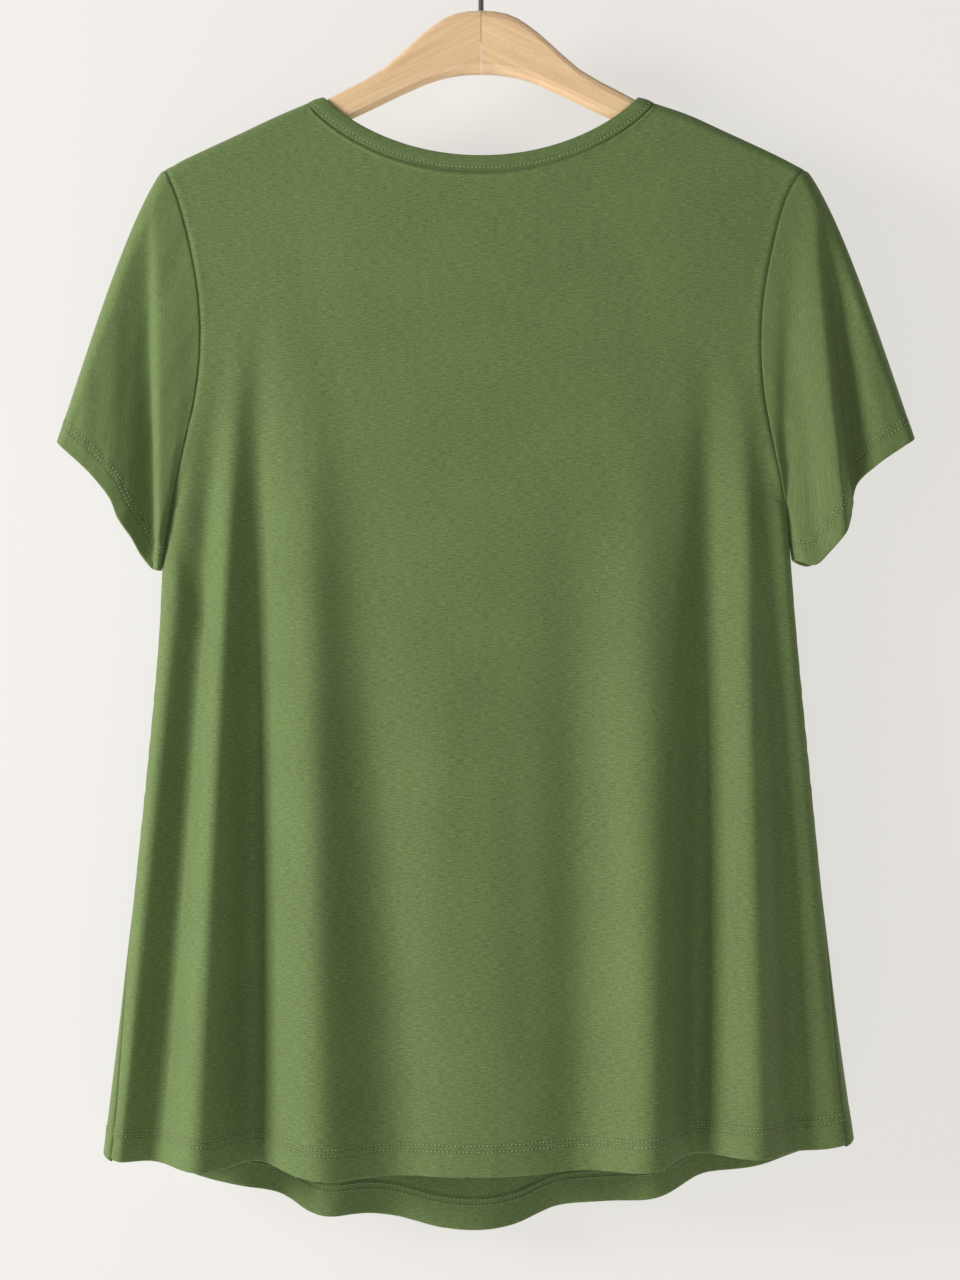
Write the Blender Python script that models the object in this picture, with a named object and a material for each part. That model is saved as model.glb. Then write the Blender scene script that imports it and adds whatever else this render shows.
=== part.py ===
"""A short-sleeved jersey t-shirt with a flared body, hung on a flat wooden hanger.

Metres, +Z up. The origin is under the wire at the top of the hook, where a rod or wall hook
would carry the hanger. The garment's back faces -Y and its front +Y; -X is the viewer's left
when the back is looked at. Every panel is a wall of jersey between an outer and an inner grid.
"""
import math

import bmesh
import bpy
import numpy as np
from mathutils import Vector

MM = 0.001

# Cloth
WALL = 1.2 * MM            # jersey, as a solid wall
BAND_WALL = 1.5 * MM       # folded binding
BAND_PROUD = 0.3 * MM      # how far the binding stands above the panels
HEM_WALL = 2.0 * MM        # two layers where a hem is turned up
SEAM_GAP = 0.3 * MM        # between neighbouring pieces
ARMHOLE_GAP = 0.4 * MM     # the same, measured sideways at the slanting armhole
RIDGE_RADIUS = 8.3 * MM    # outer radius of the cloth over the hanger's arm
EDGE_LENGTH_TOP = 14.0 * MM
EDGE_LENGTH_HEM = 25.0 * MM    # cloth that turns round each side at the hem
EDGE_GROWS_FROM = 300.0 * MM   # drop from which that length grows
SEAM_SHIFT = 15.0 * MM     # how far the front wraps round to the back at the hem
SEAM_SHIFT_FROM = 430.0 * MM
SIDE_DEPTH = 9.0 * MM      # half the depth of the body beside the armhole
SIDE_FLATTENING = 4        # power with which the depth changes towards the side
SHARP_ANGLE = 50.0         # degrees between faces from which an edge is shown sharp

# Heights below the origin
NECK_POINT_Z = -122.5 * MM     # where shoulder seam meets the neck binding's seam
WOOD_TOP_Z = -62.0 * MM

# Neck
NECK_HALF = 112.8 * MM         # half width at the binding's seam
BAND_HALF = 102.7 * MM         # half width at the free edge
BAND_RISE = 3.9 * MM           # free edge above the seam, on the shoulder line
BACK_NECK_DROP = 46.2 * MM
BACK_BAND_DROP = 39.8 * MM
FRONT_NECK_DROP = 100.0 * MM
FRONT_BAND_DROP = 93.5 * MM
BACK_NECK_POWERS = (2.05, 0.81)
FRONT_NECK_POWERS = (2.1, 0.62)
NECK_SLOPE = 0.38              # slope of the shoulder line as it runs on into the neck
COLUMNS_EVEN_FROM = 90.0 * MM  # the columns start to spread evenly at this drop
COLUMNS_EVEN_OVER = 160.0 * MM     # and take this much more to be even
CREST_BLEND = 60.0 * MM        # fall within which a column follows the shoulder line
CREST_NORMAL_FALL = 15.0 * MM  # fall to which the cloth's direction is worked out exactly
CREST_NORMAL_BLEND = 35.0 * MM
BAND_SEAM_GAP = 0.36 * MM

# Rows of every panel, as drops below the shoulder tip measured down the side
ROW_DROPS_MM = (0, 3, 6, 9, 12.5, 22, 45, 75, 105, 135, 165, 190, 206, 217, 223, 226,
                237, 262, 310, 370, 440, 510, 575, 622, 623, 641)
UNDERARM_DROP = 226.0 * MM
UNDERARM_START = 190.0 * MM
ARMHOLE_ROWS = 16              # the first rows run down the armhole
HEM_ROWS = 3                   # the last rows keep their distance from the hem edge
THICK_ROWS = 2                 # the last rows of a panel or sleeve where the cloth is doubled
NECK_STEPS_MM = (0, 2.2, 4.3, 6.6, 9.5, 16, 26)   # columns along the neck from the shoulder
NECK_EVEN_COLUMNS = 7          # and from there to the middle
SHOULDER_COLUMNS = 9
EDGE_COLUMNS = 3

# Shoulder seam: distance from the middle, drop below the neck point
SHOULDER_COLUMNS_NAMED = ("out", "left_drop", "right_drop")
SHOULDER = (
    (112.8, 0.0, 0.0),
    (134.0, 9.1, 7.2),
    (157.0, 20.0, 17.6),
    (180.0, 30.6, 28.2),
    (195.0, 37.8, 35.4),
    (203.0, 42.4, 39.6),
    (206.3, 43.5, 41.6),
    (211.2, 45.5, 43.5),
)

# Armhole and side: drop below the shoulder tip, half widths to the left and right
SIDE_COLUMNS_NAMED = ("drop", "left", "right")
SIDE = (
    (0.0, 206.3, 211.2),
    (30.0, 195.3, 196.8),
    (70.0, 184.9, 185.6),
    (116.0, 181.4, 180.9),
    (150.0, 184.6, 182.8),
    (185.0, 192.4, 189.2),
    (226.0, 201.5, 198.0),
    (258.0, 206.3, 200.8),
    (300.0, 208.6, 204.1),
    (400.0, 217.4, 213.4),
    (500.0, 228.1, 223.6),
    (600.0, 239.9, 236.0),
    (641.0, 245.0, 242.0),
)

# Distance of each panel from the middle plane, by drop
DEPTH_COLUMNS_NAMED = ("drop", "back", "front")
DEPTH = (
    (0.0, 8.3, 8.3),
    (30.0, 8.5, 8.5),
    (110.0, 10.0, 10.5),
    (226.0, 13.0, 13.0),
    (400.0, 18.0, 18.0),
    (641.0, 23.0, 22.0),
)

# Hem heights: middle, left side, right side
BACK_HEM_Z = (-815.0 * MM, -807.0 * MM, -799.0 * MM)
FRONT_HEM_Z = (-858.0 * MM, -807.0 * MM, -799.0 * MM)
HEM_CURVE = 2.2                # power of the curve between the middle and the side
# How much higher the hem edges hang than that curve, by distance from the middle
HEM_LIFT_COLUMNS_NAMED = ("x", "back", "front")
HEM_LIFT = (
    (-246, 3.8, 3.8),
    (-215, 1.5, 5.0),
    (-185, 3.0, 6.8),
    (-160, 2.8, 10.5),
    (-138, 5.0, 8.8),
    (-112, 1.8, 3.0),
    (-80, 0.7, 5.2),
    (-50, 1.4, 3.0),
    (-20, 1.8, 0.0),
    (20, 2.4, 0.3),
    (50, 3.2, 6.5),
    (82, 3.2, 11.0),
    (118, 5.0, 11.6),
    (146, 8.0, 13.6),
    (175, 7.2, 12.4),
    (208, 4.2, 8.8),
    (243, 5.2, 5.2),
)

# Folds of the body: place across and width at the table's top drop and at the hem, height
# outward (a trough is negative) at the hem, and the drop where it starts
FOLD_TOP_DROP = 250.0 * MM
FOLD_GROWTH = 0.62             # power with which a fold grows
FOLD_COLUMNS_NAMED = ("x_top", "x_hem", "top_width", "hem_width", "height", "start")
BACK_FOLDS = (
    (-194, -232, 7, 12, 6, 130),
    (-177, -212, 9, 18, -15, 120),
    (-161, -180, 10, 22, 16, 110),
    (-147, -150, 12, 18, -22, 110),
    (-110, -101, 16, 24, 15, 150),
    (-78, -56, 20, 26, -6, 200),
    (-20, 0, 36, 40, 3, 260),
    (60, 70, 20, 29, -9.5, 230),
    (106, 106, 18, 25, 13, 180),
    (146, 137, 11, 16, -21, 130),
    (171, 177, 8, 17, 13, 140),
    (185, 205, 8, 13, -8, 150),
)
FRONT_FOLDS = (
    (-175, -205, 10, 17, 8, 190),
    (-150, -160, 11, 17, -9, 190),
    (-112, -128, 12, 19, 8, 220),
    (-78, -102, 12, 20, -13, 200),
    (-48, -58, 12, 20, 7, 230),
    (-12, -10, 16, 26, -5, 260),
    (38, 50, 15, 25, 20, 200),
    (98, 113, 12, 20, -13, 200),
    (134, 146, 10, 16, 10, 210),
    (160, 182, 10, 16, -7, 200),
)

# Cuff edges, from the outer fold to the corner beside the body: out from the middle, height
CUFF_COLUMNS_NAMED = ("out", "z")
LEFT_CUFF = (
    (274.3, -342.1),
    (247.7, -367.5),
    (238.6, -379.8),
    (234.0, -391.5),
    (225.6, -404.5),
    (219.7, -415.6),
    (212.0, -424.6),
    (208.0, -425.3),
)
RIGHT_CUFF = (
    (280.8, -340.1),
    (268.5, -348.0),
    (254.2, -358.3),
    (243.6, -369.5),
    (240.8, -382.0),
    (236.6, -396.0),
    (224.3, -412.9),
    (215.0, -422.0),
    (202.6, -418.5),
)
SLEEVE_BULGE = 5.8 * MM        # how far the outer fold bows out between shoulder and cuff
BULGE_OUT = 0.93               # shares of the bow that go outwards and up
BULGE_UP = 0.37
BULGE_PLACE = 0.6              # power that moves the bow towards the shoulder
CUFF_HALF_DEPTH = 12.0 * MM
CUFF_ROUNDING = 8.0 * MM       # how far from a fold of the cuff its full depth is reached
CUFF_TURN_ANGLES = (0, 24, 46, 68, 90)    # degrees of the points round a cuff's fold
SLEEVE_RINGS = (0.0, 0.06, 0.14, 0.24, 0.35, 0.47, 0.59, 0.71, 0.82, 0.92, 0.925, 1.0)

SLEEVE_FOLD_START = 0.25       # share of a fold's height at its top, and of the way to grow
SLEEVE_FOLD_GROWTH = 0.9
FAR_FOLD_SHARE = 0.6           # how much of a sleeve's fold its front layer has

# Folds of the sleeves: place at the top and bottom of the fold, as out from the middle and
# height, widths towards and away from the body, height outward
SLEEVE_FOLD_COLUMNS_NAMED = ("out_top", "z_top", "out_low", "z_low",
                             "inner_width", "outer_width", "height")
LEFT_SLEEVE_FOLDS = (
    (216.0, -205.0, 216.0, -405.0, 6.0, 16.0, -9.2),
    (208.0, -200.0, 208.0, -415.0, 9.0, 5.0, 3.5),
    (240.0, -235.0, 246.0, -390.0, 14.0, 12.0, 4.0),
)
RIGHT_SLEEVE_FOLDS = (
    (213.0, -200.0, 230.0, -405.0, 14.0, 5.0, 7.5),
    (223.0, -200.0, 244.0, -375.0, 5.0, 12.0, -9.5),
    (198.0, -240.0, 197.0, -400.0, 8.0, 9.0, -3.5),
)

# Hanger
ARM_HALF_THICKNESS = 5.8 * MM
ARM_END = 192.0 * MM
ARM_END_RADIUS = 9.0 * MM
ARM_END_LEFT = 0.02            # square of the height that is left at the very end
ARM_HEIGHT = 20.4 * MM         # of the wood past the table's last row
ARM_TAPER = 3.0 * MM           # lost from there to the end
ARM_ROUNDING = 0.95            # rounding of the section, as a share of half its thickness
ARM_STATIONS_MM = (112, 124, 140, 156, 172, 183.5, 187, 190, 192)   # past that row
ARM_UNDER_CLOTH = 2.8 * MM    # vertical distance from the cloth's top to the wood
ARM_POINTS = 16                # points round one section
WIRE = 4.0 * MM
HOOK_RADIUS = 20.0 * MM        # to the middle of the wire
HOOK_ANGLES = (-50.0, 205.0)   # degrees where its bend starts and ends
HOOK_NECK_Z = -46.0 * MM       # where the straight shank ends
SHANK_Z_MM = (-58.0, -51.0)
SWAN_PULLS_MM = (7.0, 6.0)     # how far the swan neck runs on straight at both ends
SWAN_STEPS = 6
HOOK_STEPS = 20
TIP_ROOM = 1.0 * MM            # between the wire's end and the bottom of its hole
HOLE_DEPTH = 22.0 * MM
HOLE_RADIUS = 2.4 * MM
# Upper and lower edge of the wood: out from the middle, top, bottom
ARM_COLUMNS_NAMED = ("out", "top", "bottom")
ARM = (
    (0.0, -62.0, -103.6),
    (9.0, -62.6, -103.9),
    (17.0, -64.2, -104.9),
    (24.0, -67.2, -106.2),
    (31.0, -71.8, -108.3),
    (37.0, -76.4, -110.4),
    (42.5, -81.2, -113.0),
    (53.6, -91.3, -117.9),
    (64.0, -100.2, -123.0),
    (77.0, -108.0, -129.2),
    (88.0, -113.5, -134.4),
    (100.0, -120.0, -140.2),
)


def smooth(value):
    """Ease from 0 to 1."""
    value = np.clip(value, 0.0, 1.0)
    return value * value * (3.0 - 2.0 * value)


def column(table, names, name):
    """One named column of a table in millimetres, in metres."""
    place = names.index(name)
    return np.array([row[place] for row in table], dtype=float) * MM


def curve_through(xs, ys):
    """A smooth function through the table's points (cubic between them)."""
    slopes = np.gradient(ys, xs)

    def value(x):
        x = np.clip(x, xs[0], xs[-1])
        index = np.clip(np.searchsorted(xs, x) - 1, 0, len(xs) - 2)
        step = xs[index + 1] - xs[index]
        part = (x - xs[index]) / step
        a = (1 + 2 * part) * (1 - part) ** 2 * ys[index]
        b = part * (1 - part) ** 2 * step * slopes[index]
        c = part ** 2 * (3 - 2 * part) * ys[index + 1]
        d = part ** 2 * (part - 1) * step * slopes[index + 1]
        return a + b + c + d

    return value


def table_function(table, names, key, value):
    """A smooth function from one named column to another."""
    return curve_through(column(table, names, key), column(table, names, value))


HALF_WIDTH = {side: table_function(SIDE, SIDE_COLUMNS_NAMED, "drop", side)
              for side in ("left", "right")}
SHOULDER_DROP = {side: table_function(SHOULDER, SHOULDER_COLUMNS_NAMED, "out", side + "_drop")
                 for side in ("left", "right")}
PANEL_DEPTH = {panel: table_function(DEPTH, DEPTH_COLUMNS_NAMED, "drop", panel)
               for panel in ("back", "front")}
HEM_RISE = {panel: table_function(HEM_LIFT, HEM_LIFT_COLUMNS_NAMED, "x", panel)
            for panel in ("back", "front")}


def side_name(sign):
    return "left" if sign < 0 else "right"


def ridge_height(x):
    """Height of the shoulder line, which runs on upwards inside the neck."""
    out = abs(x)
    if out < NECK_HALF:
        return NECK_POINT_Z + (NECK_HALF - out) * NECK_SLOPE
    return NECK_POINT_Z - float(SHOULDER_DROP[side_name(x)](out))


def ridge_profile(length):
    """Drop and share of the full depth, a given length down from the shoulder line."""
    quarter = math.pi * RIDGE_RADIUS / 2
    if length < quarter:
        angle = length / RIDGE_RADIUS
        return RIDGE_RADIUS * (1 - math.cos(angle)), math.sin(angle)
    return RIDGE_RADIUS + length - quarter, 1.0


def ridge_length(drop):
    """Length down the cloth that makes a given drop."""
    if drop <= 0.0:
        return 0.0
    if drop < RIDGE_RADIUS:
        return RIDGE_RADIUS * math.acos(1 - drop / RIDGE_RADIUS)
    return math.pi * RIDGE_RADIUS / 2 + drop - RIDGE_RADIUS


def neck_height(share, point_z, drop, powers):
    """Height of a neckline at a share of its half width."""
    return point_z - drop * (1 - min(abs(share), 1.0) ** powers[0]) ** powers[1]


def neck_shares(drop, powers):
    """Shares of the half width, from the middle out, spaced closer towards the shoulder."""
    shares = np.linspace(0.0, 1.0, 400)
    heights = np.array([neck_height(s, 0.0, drop, powers) for s in shares])
    steps = np.hypot(np.diff(shares * NECK_HALF), np.diff(heights))
    lengths = np.concatenate([[0.0], np.cumsum(steps)])
    near = lengths[-1] - np.array(NECK_STEPS_MM)[::-1] * MM
    even = np.linspace(0.0, near[0], NECK_EVEN_COLUMNS + 1)[:-1]
    return np.interp(np.concatenate([even, near]), lengths, shares)


def fold_height(folds, x, drop, total):
    """Sum of the body's folds at a place, in metres outward."""
    names = FOLD_COLUMNS_NAMED
    value = 0.0
    for fold in folds:
        row = dict(zip(names, (number * MM for number in fold)))
        down = (drop - FOLD_TOP_DROP) / (total - FOLD_TOP_DROP)
        middle = row["x_top"] + (row["x_hem"] - row["x_top"]) * down
        share = min(max(down, 0.0), 1.0)
        width = row["top_width"] + (row["hem_width"] - row["top_width"]) * share
        grown = smooth((drop - row["start"]) / (total - row["start"])) ** FOLD_GROWTH
        value += row["height"] * grown * math.exp(-((x - middle) / width) ** 2)
    return value


def turn_share(drop):
    """0 where the panel runs on into the sleeve, 1 where it turns round the side."""
    part = (drop - UNDERARM_START) / (UNDERARM_DROP - UNDERARM_START)
    part = min(max(part, 0.0), 1.0)
    return 1.0 - math.sqrt(1.0 - part * part)


def hem_height(panel, x, drop):
    """Height of the hem edge at a distance from the middle."""
    middle, left, right = BACK_HEM_Z if panel == "back" else FRONT_HEM_Z
    side = left if x < 0 else right
    share = min(abs(x) / float(HALF_WIDTH[side_name(x)](drop)), 1.0)
    return middle + (side - middle) * share ** HEM_CURVE + float(HEM_RISE[panel](x))


def panel_columns(drop, powers, sign):
    """Columns of one half, from the middle out: kind, share at the top, share low down."""
    half = float(HALF_WIDTH[side_name(sign)](0.0))
    corner = NECK_HALF / (half - EDGE_LENGTH_TOP)
    shares = [share * corner for share in neck_shares(drop, powers)]
    for step in range(1, SHOULDER_COLUMNS + 1):
        shares.append(corner + (1 - corner) * step / SHOULDER_COLUMNS)
    last = len(shares) - 1
    columns = [("flat", share, place / last) for place, share in enumerate(shares)]
    for step in range(1, EDGE_COLUMNS + 1):
        columns.append(("edge", step / EDGE_COLUMNS, 1.0))
    return columns


def edge_turn(drop):
    """Length and radius of the cloth that turns round the side at a drop."""
    total = ROW_DROPS_MM[-1] * MM
    lower = smooth((drop - EDGE_GROWS_FROM) / (total - EDGE_GROWS_FROM))
    edge = EDGE_LENGTH_TOP + (EDGE_LENGTH_HEM - EDGE_LENGTH_TOP) * lower
    return edge, edge * 2 / math.pi


def seam_angle(panel, drop):
    """How far round the side a panel reaches: the front goes past the middle plane."""
    total = ROW_DROPS_MM[-1] * MM
    radius = edge_turn(drop)[1]
    lower = smooth((drop - SEAM_SHIFT_FROM) / (total - SEAM_SHIFT_FROM))
    shift = SEAM_SHIFT * lower / radius
    return math.pi / 2 + (shift if panel == "front" else -shift) - SEAM_GAP / 2 / radius


def section_point(panel, sign, column_at, drop):
    """Distance out and depth of one column's point at a drop, before the folds."""
    kind, share, low_share = column_at
    half = float(HALF_WIDTH[side_name(sign)](drop))
    turn = turn_share(drop)
    edge, radius = edge_turn(drop)
    flat_depth = float(PANEL_DEPTH[panel](drop))
    side_depth = min(flat_depth, SIDE_DEPTH)
    if kind == "flat":
        inner = half - ((1 - turn) * edge + turn * radius)
        top_inner = float(HALF_WIDTH[side_name(sign)](0.0)) - EDGE_LENGTH_TOP
        corner = NECK_HALF / top_inner
        moved = smooth((share - corner) / (1 - corner)) * (inner - top_inner)
        even = smooth((drop - COLUMNS_EVEN_FROM) / COLUMNS_EVEN_OVER)
        out = (1 - even) * (share * top_inner + moved) + even * low_share * inner
        depth_here = (1 - turn) * side_depth + turn * radius
        return out, flat_depth + (depth_here - flat_depth) * (out / inner) ** SIDE_FLATTENING
    angle = share * seam_angle(panel, drop)
    flat_x = half - edge * (1 - share)
    arc_x = half - radius + radius * math.sin(angle)
    x = (1 - turn) * flat_x + turn * arc_x
    return x, (1 - turn) * side_depth + turn * radius * math.cos(angle)


def panel_grid(panel):
    """Outer points of the back or the front, rows from the top edge to the hem."""
    back = panel == "back"
    facing = -1.0 if back else 1.0
    neck_drop = BACK_NECK_DROP if back else FRONT_NECK_DROP
    powers = BACK_NECK_POWERS if back else FRONT_NECK_POWERS
    folds = BACK_FOLDS if back else FRONT_FOLDS
    total = ROW_DROPS_MM[-1] * MM
    left = [(-1.0, column_at) for column_at in panel_columns(neck_drop, powers, -1)][::-1]
    right = [(1.0, column_at) for column_at in panel_columns(neck_drop, powers, 1)][1:]
    grid = np.zeros((len(ROW_DROPS_MM), len(left) + len(right), 3))
    for place, (sign, column_at) in enumerate(left + right):
        top_out = section_point(panel, sign, column_at, 0.0)[0]
        top_x = sign * top_out
        crest = ridge_height(top_x)
        start = SEAM_GAP / 2
        if top_out < NECK_HALF:
            top_z = neck_height(top_out / NECK_HALF, NECK_POINT_Z, neck_drop, powers)
            start = max(start, ridge_length(crest - top_z))
        hem_x = sign * section_point(panel, sign, column_at, total)[0]
        end = ridge_length(crest - hem_height(panel, hem_x, total))
        lost = (start - SEAM_GAP / 2) / end
        first_out = section_point(panel, sign, column_at, total * lost)[0]
        widened = top_out / first_out if first_out > 0 else 1.0
        for row, drop_mm in enumerate(ROW_DROPS_MM):
            drop = drop_mm * MM
            length = start + (end - start) * drop / total
            drop += (total - drop) * lost
            out, depth = section_point(panel, sign, column_at, drop)
            out *= widened
            if row >= len(ROW_DROPS_MM) - HEM_ROWS:
                length = end - (total - drop_mm * MM)
            fallen, shared = ridge_profile(length)
            calm = 1.0 if column_at[0] == "flat" else 1.0 - smooth(column_at[1])
            depth += fold_height(folds, sign * out, drop, total) * calm
            level = smooth(fallen / CREST_BLEND)
            level = level * crest + (1 - level) * ridge_height(sign * out)
            grid[row, place] = (sign * out, facing * depth * shared, level - fallen)
    return grid


def grid_normals(grid, facing, closed=False):
    """Unit normals of a grid of points, turned the way that facing says for most of them."""
    across = np.gradient(grid, axis=1, edge_order=2)
    if closed:
        across = (np.roll(grid, -1, axis=1) - np.roll(grid, 1, axis=1)) / 2
    normals = np.cross(across, np.gradient(grid, axis=0, edge_order=2))
    normals /= np.linalg.norm(normals, axis=2, keepdims=True)
    return normals if np.sum(normals[..., 1] * facing) > 0 else -normals


def wall_faces(rows, columns, closed):
    """Faces of a wall: outer grid first, inner grid after it."""
    count = rows * columns
    faces = []
    last = columns if closed else columns - 1
    for row in range(rows - 1):
        for place in range(last):
            following = (place + 1) % columns
            a = row * columns + place
            b = row * columns + following
            c = (row + 1) * columns + following
            d = (row + 1) * columns + place
            faces.append((a, b, c, d))
            faces.append((a + count, d + count, c + count, b + count))
    for place in range(last):
        following = (place + 1) % columns
        low = (rows - 1) * columns
        faces.append((place, place + count, following + count, following))
        faces.append((low + place, low + following, low + following + count,
                      low + place + count))
    if not closed:
        for row in range(rows - 1):
            a = row * columns
            b = a + columns
            faces.append((a, b, b + count, a + count))
            a += columns - 1
            b += columns - 1
            faces.append((a, a + count, b + count, b))
    return faces


def material(name, colour, roughness, metallic=0.0):
    made = bpy.data.materials.new(name)
    made.use_nodes = True
    shader = made.node_tree.nodes["Principled BSDF"]
    shader.inputs["Base Color"].default_value = (*colour, 1.0)
    shader.inputs["Roughness"].default_value = roughness
    shader.inputs["Metallic"].default_value = metallic
    return made


def mesh_object(name, points, faces, collection, finish):
    """A named object from points and faces, with its faces pointing out."""
    mesh = bpy.data.meshes.new(name)
    mesh.from_pydata([tuple(point) for point in points], [], faces)
    work = bmesh.new()
    work.from_mesh(mesh)
    bmesh.ops.recalc_face_normals(work, faces=work.faces)
    work.to_mesh(mesh)
    work.free()
    mesh.shade_smooth()
    mesh.set_sharp_from_angle(angle=math.radians(SHARP_ANGLE))
    mesh.materials.append(finish)
    made = bpy.data.objects.new(name, mesh)
    collection.objects.link(made)
    return made


def wall_object(name, outer, inner, collection, finish, closed=False):
    rows, columns = outer.shape[:2]
    points = np.concatenate([outer.reshape(-1, 3), inner.reshape(-1, 3)])
    return mesh_object(name, points, wall_faces(rows, columns, closed), collection, finish)


def crest_normals(points):
    """Normals of the cloth where it turns over the shoulder line."""
    normals = np.zeros_like(points)
    step = 0.5 * MM
    for spot in np.ndindex(points.shape[:-1]):
        x, y, z = points[spot]
        slope = (ridge_height(x + step) - ridge_height(x - step)) / (2 * step)
        length = ridge_length(ridge_height(x) - z)
        angle = min(length / RIDGE_RADIUS, math.pi / 2)
        sideways = math.copysign(math.sin(angle), y)
        normals[spot] = (-slope * math.cos(angle), sideways, math.cos(angle))
    return normals / np.linalg.norm(normals, axis=-1, keepdims=True)


def hem_thickness(rows):
    """Wall thickness by row: two layers in the last rows."""
    values = np.full(rows, WALL)
    values[rows - THICK_ROWS:] = HEM_WALL
    return values[:, None, None]


def panel_walls(panel):
    """Outer and inner points of the back or the front."""
    outer = panel_grid(panel)
    facing = -1.0 if panel == "back" else 1.0
    normals = grid_normals(outer, facing)
    crests = np.array([[ridge_height(x) for x in row] for row in outer[..., 0]])
    fallen = crests - outer[..., 2]
    lower = smooth((fallen - CREST_NORMAL_FALL) / CREST_NORMAL_BLEND)[..., None]
    normals = lower * normals + (1 - lower) * crest_normals(outer)
    for row, drop_mm in enumerate(ROW_DROPS_MM):
        if drop_mm * MM >= UNDERARM_DROP:
            angle = seam_angle(panel, drop_mm * MM)
            for place, sign in ((0, -1.0), (-1, 1.0)):
                normals[row, place] = (sign * math.sin(angle), facing * math.cos(angle), 0.0)
    normals /= np.linalg.norm(normals, axis=2, keepdims=True)
    inner = outer - normals * hem_thickness(outer.shape[0])
    for place, sign in ((0, -1.0), (-1, 1.0)):
        rim = inner[:ARMHOLE_ROWS, place]
        rim[:, 0] = sign * np.minimum(abs(rim[:, 0]), abs(outer[:ARMHOLE_ROWS, place, 0]))
    return outer, inner


def sleeve_folds(folds, out, z):
    """Sum of a sleeve's folds at a place, in metres outward."""
    value = 0.0
    for fold in folds:
        row = dict(zip(SLEEVE_FOLD_COLUMNS_NAMED, (number * MM for number in fold)))
        down = (z - row["z_top"]) / (row["z_low"] - row["z_top"])
        middle = row["out_top"] + (row["out_low"] - row["out_top"]) * down
        width = row["inner_width"] if out < middle else row["outer_width"]
        grown = smooth(SLEEVE_FOLD_START + SLEEVE_FOLD_GROWTH * down)
        value += row["height"] * grown * math.exp(-((out - middle) / width) ** 2)
    return value


def cuff_points(table, count):
    """Points along the cuff edge and their share of the full depth, outer fold first."""
    out = column(table, CUFF_COLUMNS_NAMED, "out")
    z = column(table, CUFF_COLUMNS_NAMED, "z")
    lengths = np.concatenate([[0.0], np.cumsum(np.hypot(np.diff(out), np.diff(z)))])
    total = lengths[-1]
    radius = CUFF_ROUNDING
    turns = [radius * (1 - math.cos(math.radians(angle))) for angle in CUFF_TURN_ANGLES]
    middle = list(np.linspace(radius, total - radius, count - 7)[1:-1])
    distances = turns + middle + [total - turns[4], total - turns[3], total - turns[1], total]
    distances = np.array(distances)
    share = np.sqrt(np.clip(1 - (1 - np.minimum(distances / radius, 1.0)) ** 2, 0, 1))
    ending = np.minimum((total - distances) / radius, 1.0)
    share = share * np.sqrt(np.clip(1 - (1 - ending) ** 2, 0, 1))
    return np.interp(distances, lengths, out), np.interp(distances, lengths, z), share


def sleeve_walls(sign, back_walls, front_walls):
    """Outer and inner points of one sleeve, as rings from the armhole to the cuff."""
    place = 0 if sign < 0 else -1
    table = LEFT_CUFF if sign < 0 else RIGHT_CUFF
    folds = LEFT_SLEEVE_FOLDS if sign < 0 else RIGHT_SLEEVE_FOLDS
    shift = np.array([sign * ARMHOLE_GAP, 0.0, 0.0])
    near = back_walls[0][:ARMHOLE_ROWS, place] + shift
    far = front_walls[0][:ARMHOLE_ROWS, place] + shift
    near[0, 1] = 0.0
    near[-1, 1] = 0.0
    rim = np.concatenate([near, far[-2:0:-1]])
    cuff_out, cuff_z, cuff_share = cuff_points(table, ARMHOLE_ROWS)
    order = list(range(ARMHOLE_ROWS)) + list(range(ARMHOLE_ROWS - 2, 0, -1))
    facing = np.array([-1.0] * ARMHOLE_ROWS + [1.0] * (ARMHOLE_ROWS - 2))
    outer = np.zeros((len(SLEEVE_RINGS), len(order), 3))
    for ring, along in enumerate(SLEEVE_RINGS):
        bow = SLEEVE_BULGE * math.sin(math.pi * along ** BULGE_PLACE)
        for spot, index in enumerate(order):
            start = rim[spot]
            across = index / (ARMHOLE_ROWS - 1)
            out = (1 - along) * abs(start[0]) + along * cuff_out[index]
            z = (1 - along) * start[2] + along * cuff_z[index]
            out += bow * (1 - across) ** 2 * BULGE_OUT
            z += bow * (1 - across) ** 2 * BULGE_UP
            depth = (1 - along) * abs(start[1]) + along * CUFF_HALF_DEPTH * cuff_share[index]
            gentle = smooth(along / SLEEVE_FOLD_START) * cuff_share[index]
            lift = sleeve_folds(folds, out, z) * gentle
            depth += lift if facing[spot] < 0 else lift * FAR_FOLD_SHARE
            outer[ring, spot] = (sign * out, facing[spot] * depth, z)

    normals = grid_normals(outer, facing, closed=True)
    inner = outer - normals * hem_thickness(len(SLEEVE_RINGS))
    inner[0, :, 0] = sign * np.maximum(abs(inner[0, :, 0]), abs(outer[0, :, 0]))
    return outer, inner


def neck_point(x, z, facing):
    """A point of the neck's surface, on the back (-1) or the front (1)."""
    length = ridge_length(ridge_height(x) - z)
    shared = ridge_profile(length)[1]
    proud = BAND_PROUD * math.sqrt(max(1.0 - shared * shared, 0.0))
    return np.array([x, facing * (RIDGE_RADIUS + BAND_PROUD) * shared, z + proud])


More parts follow.
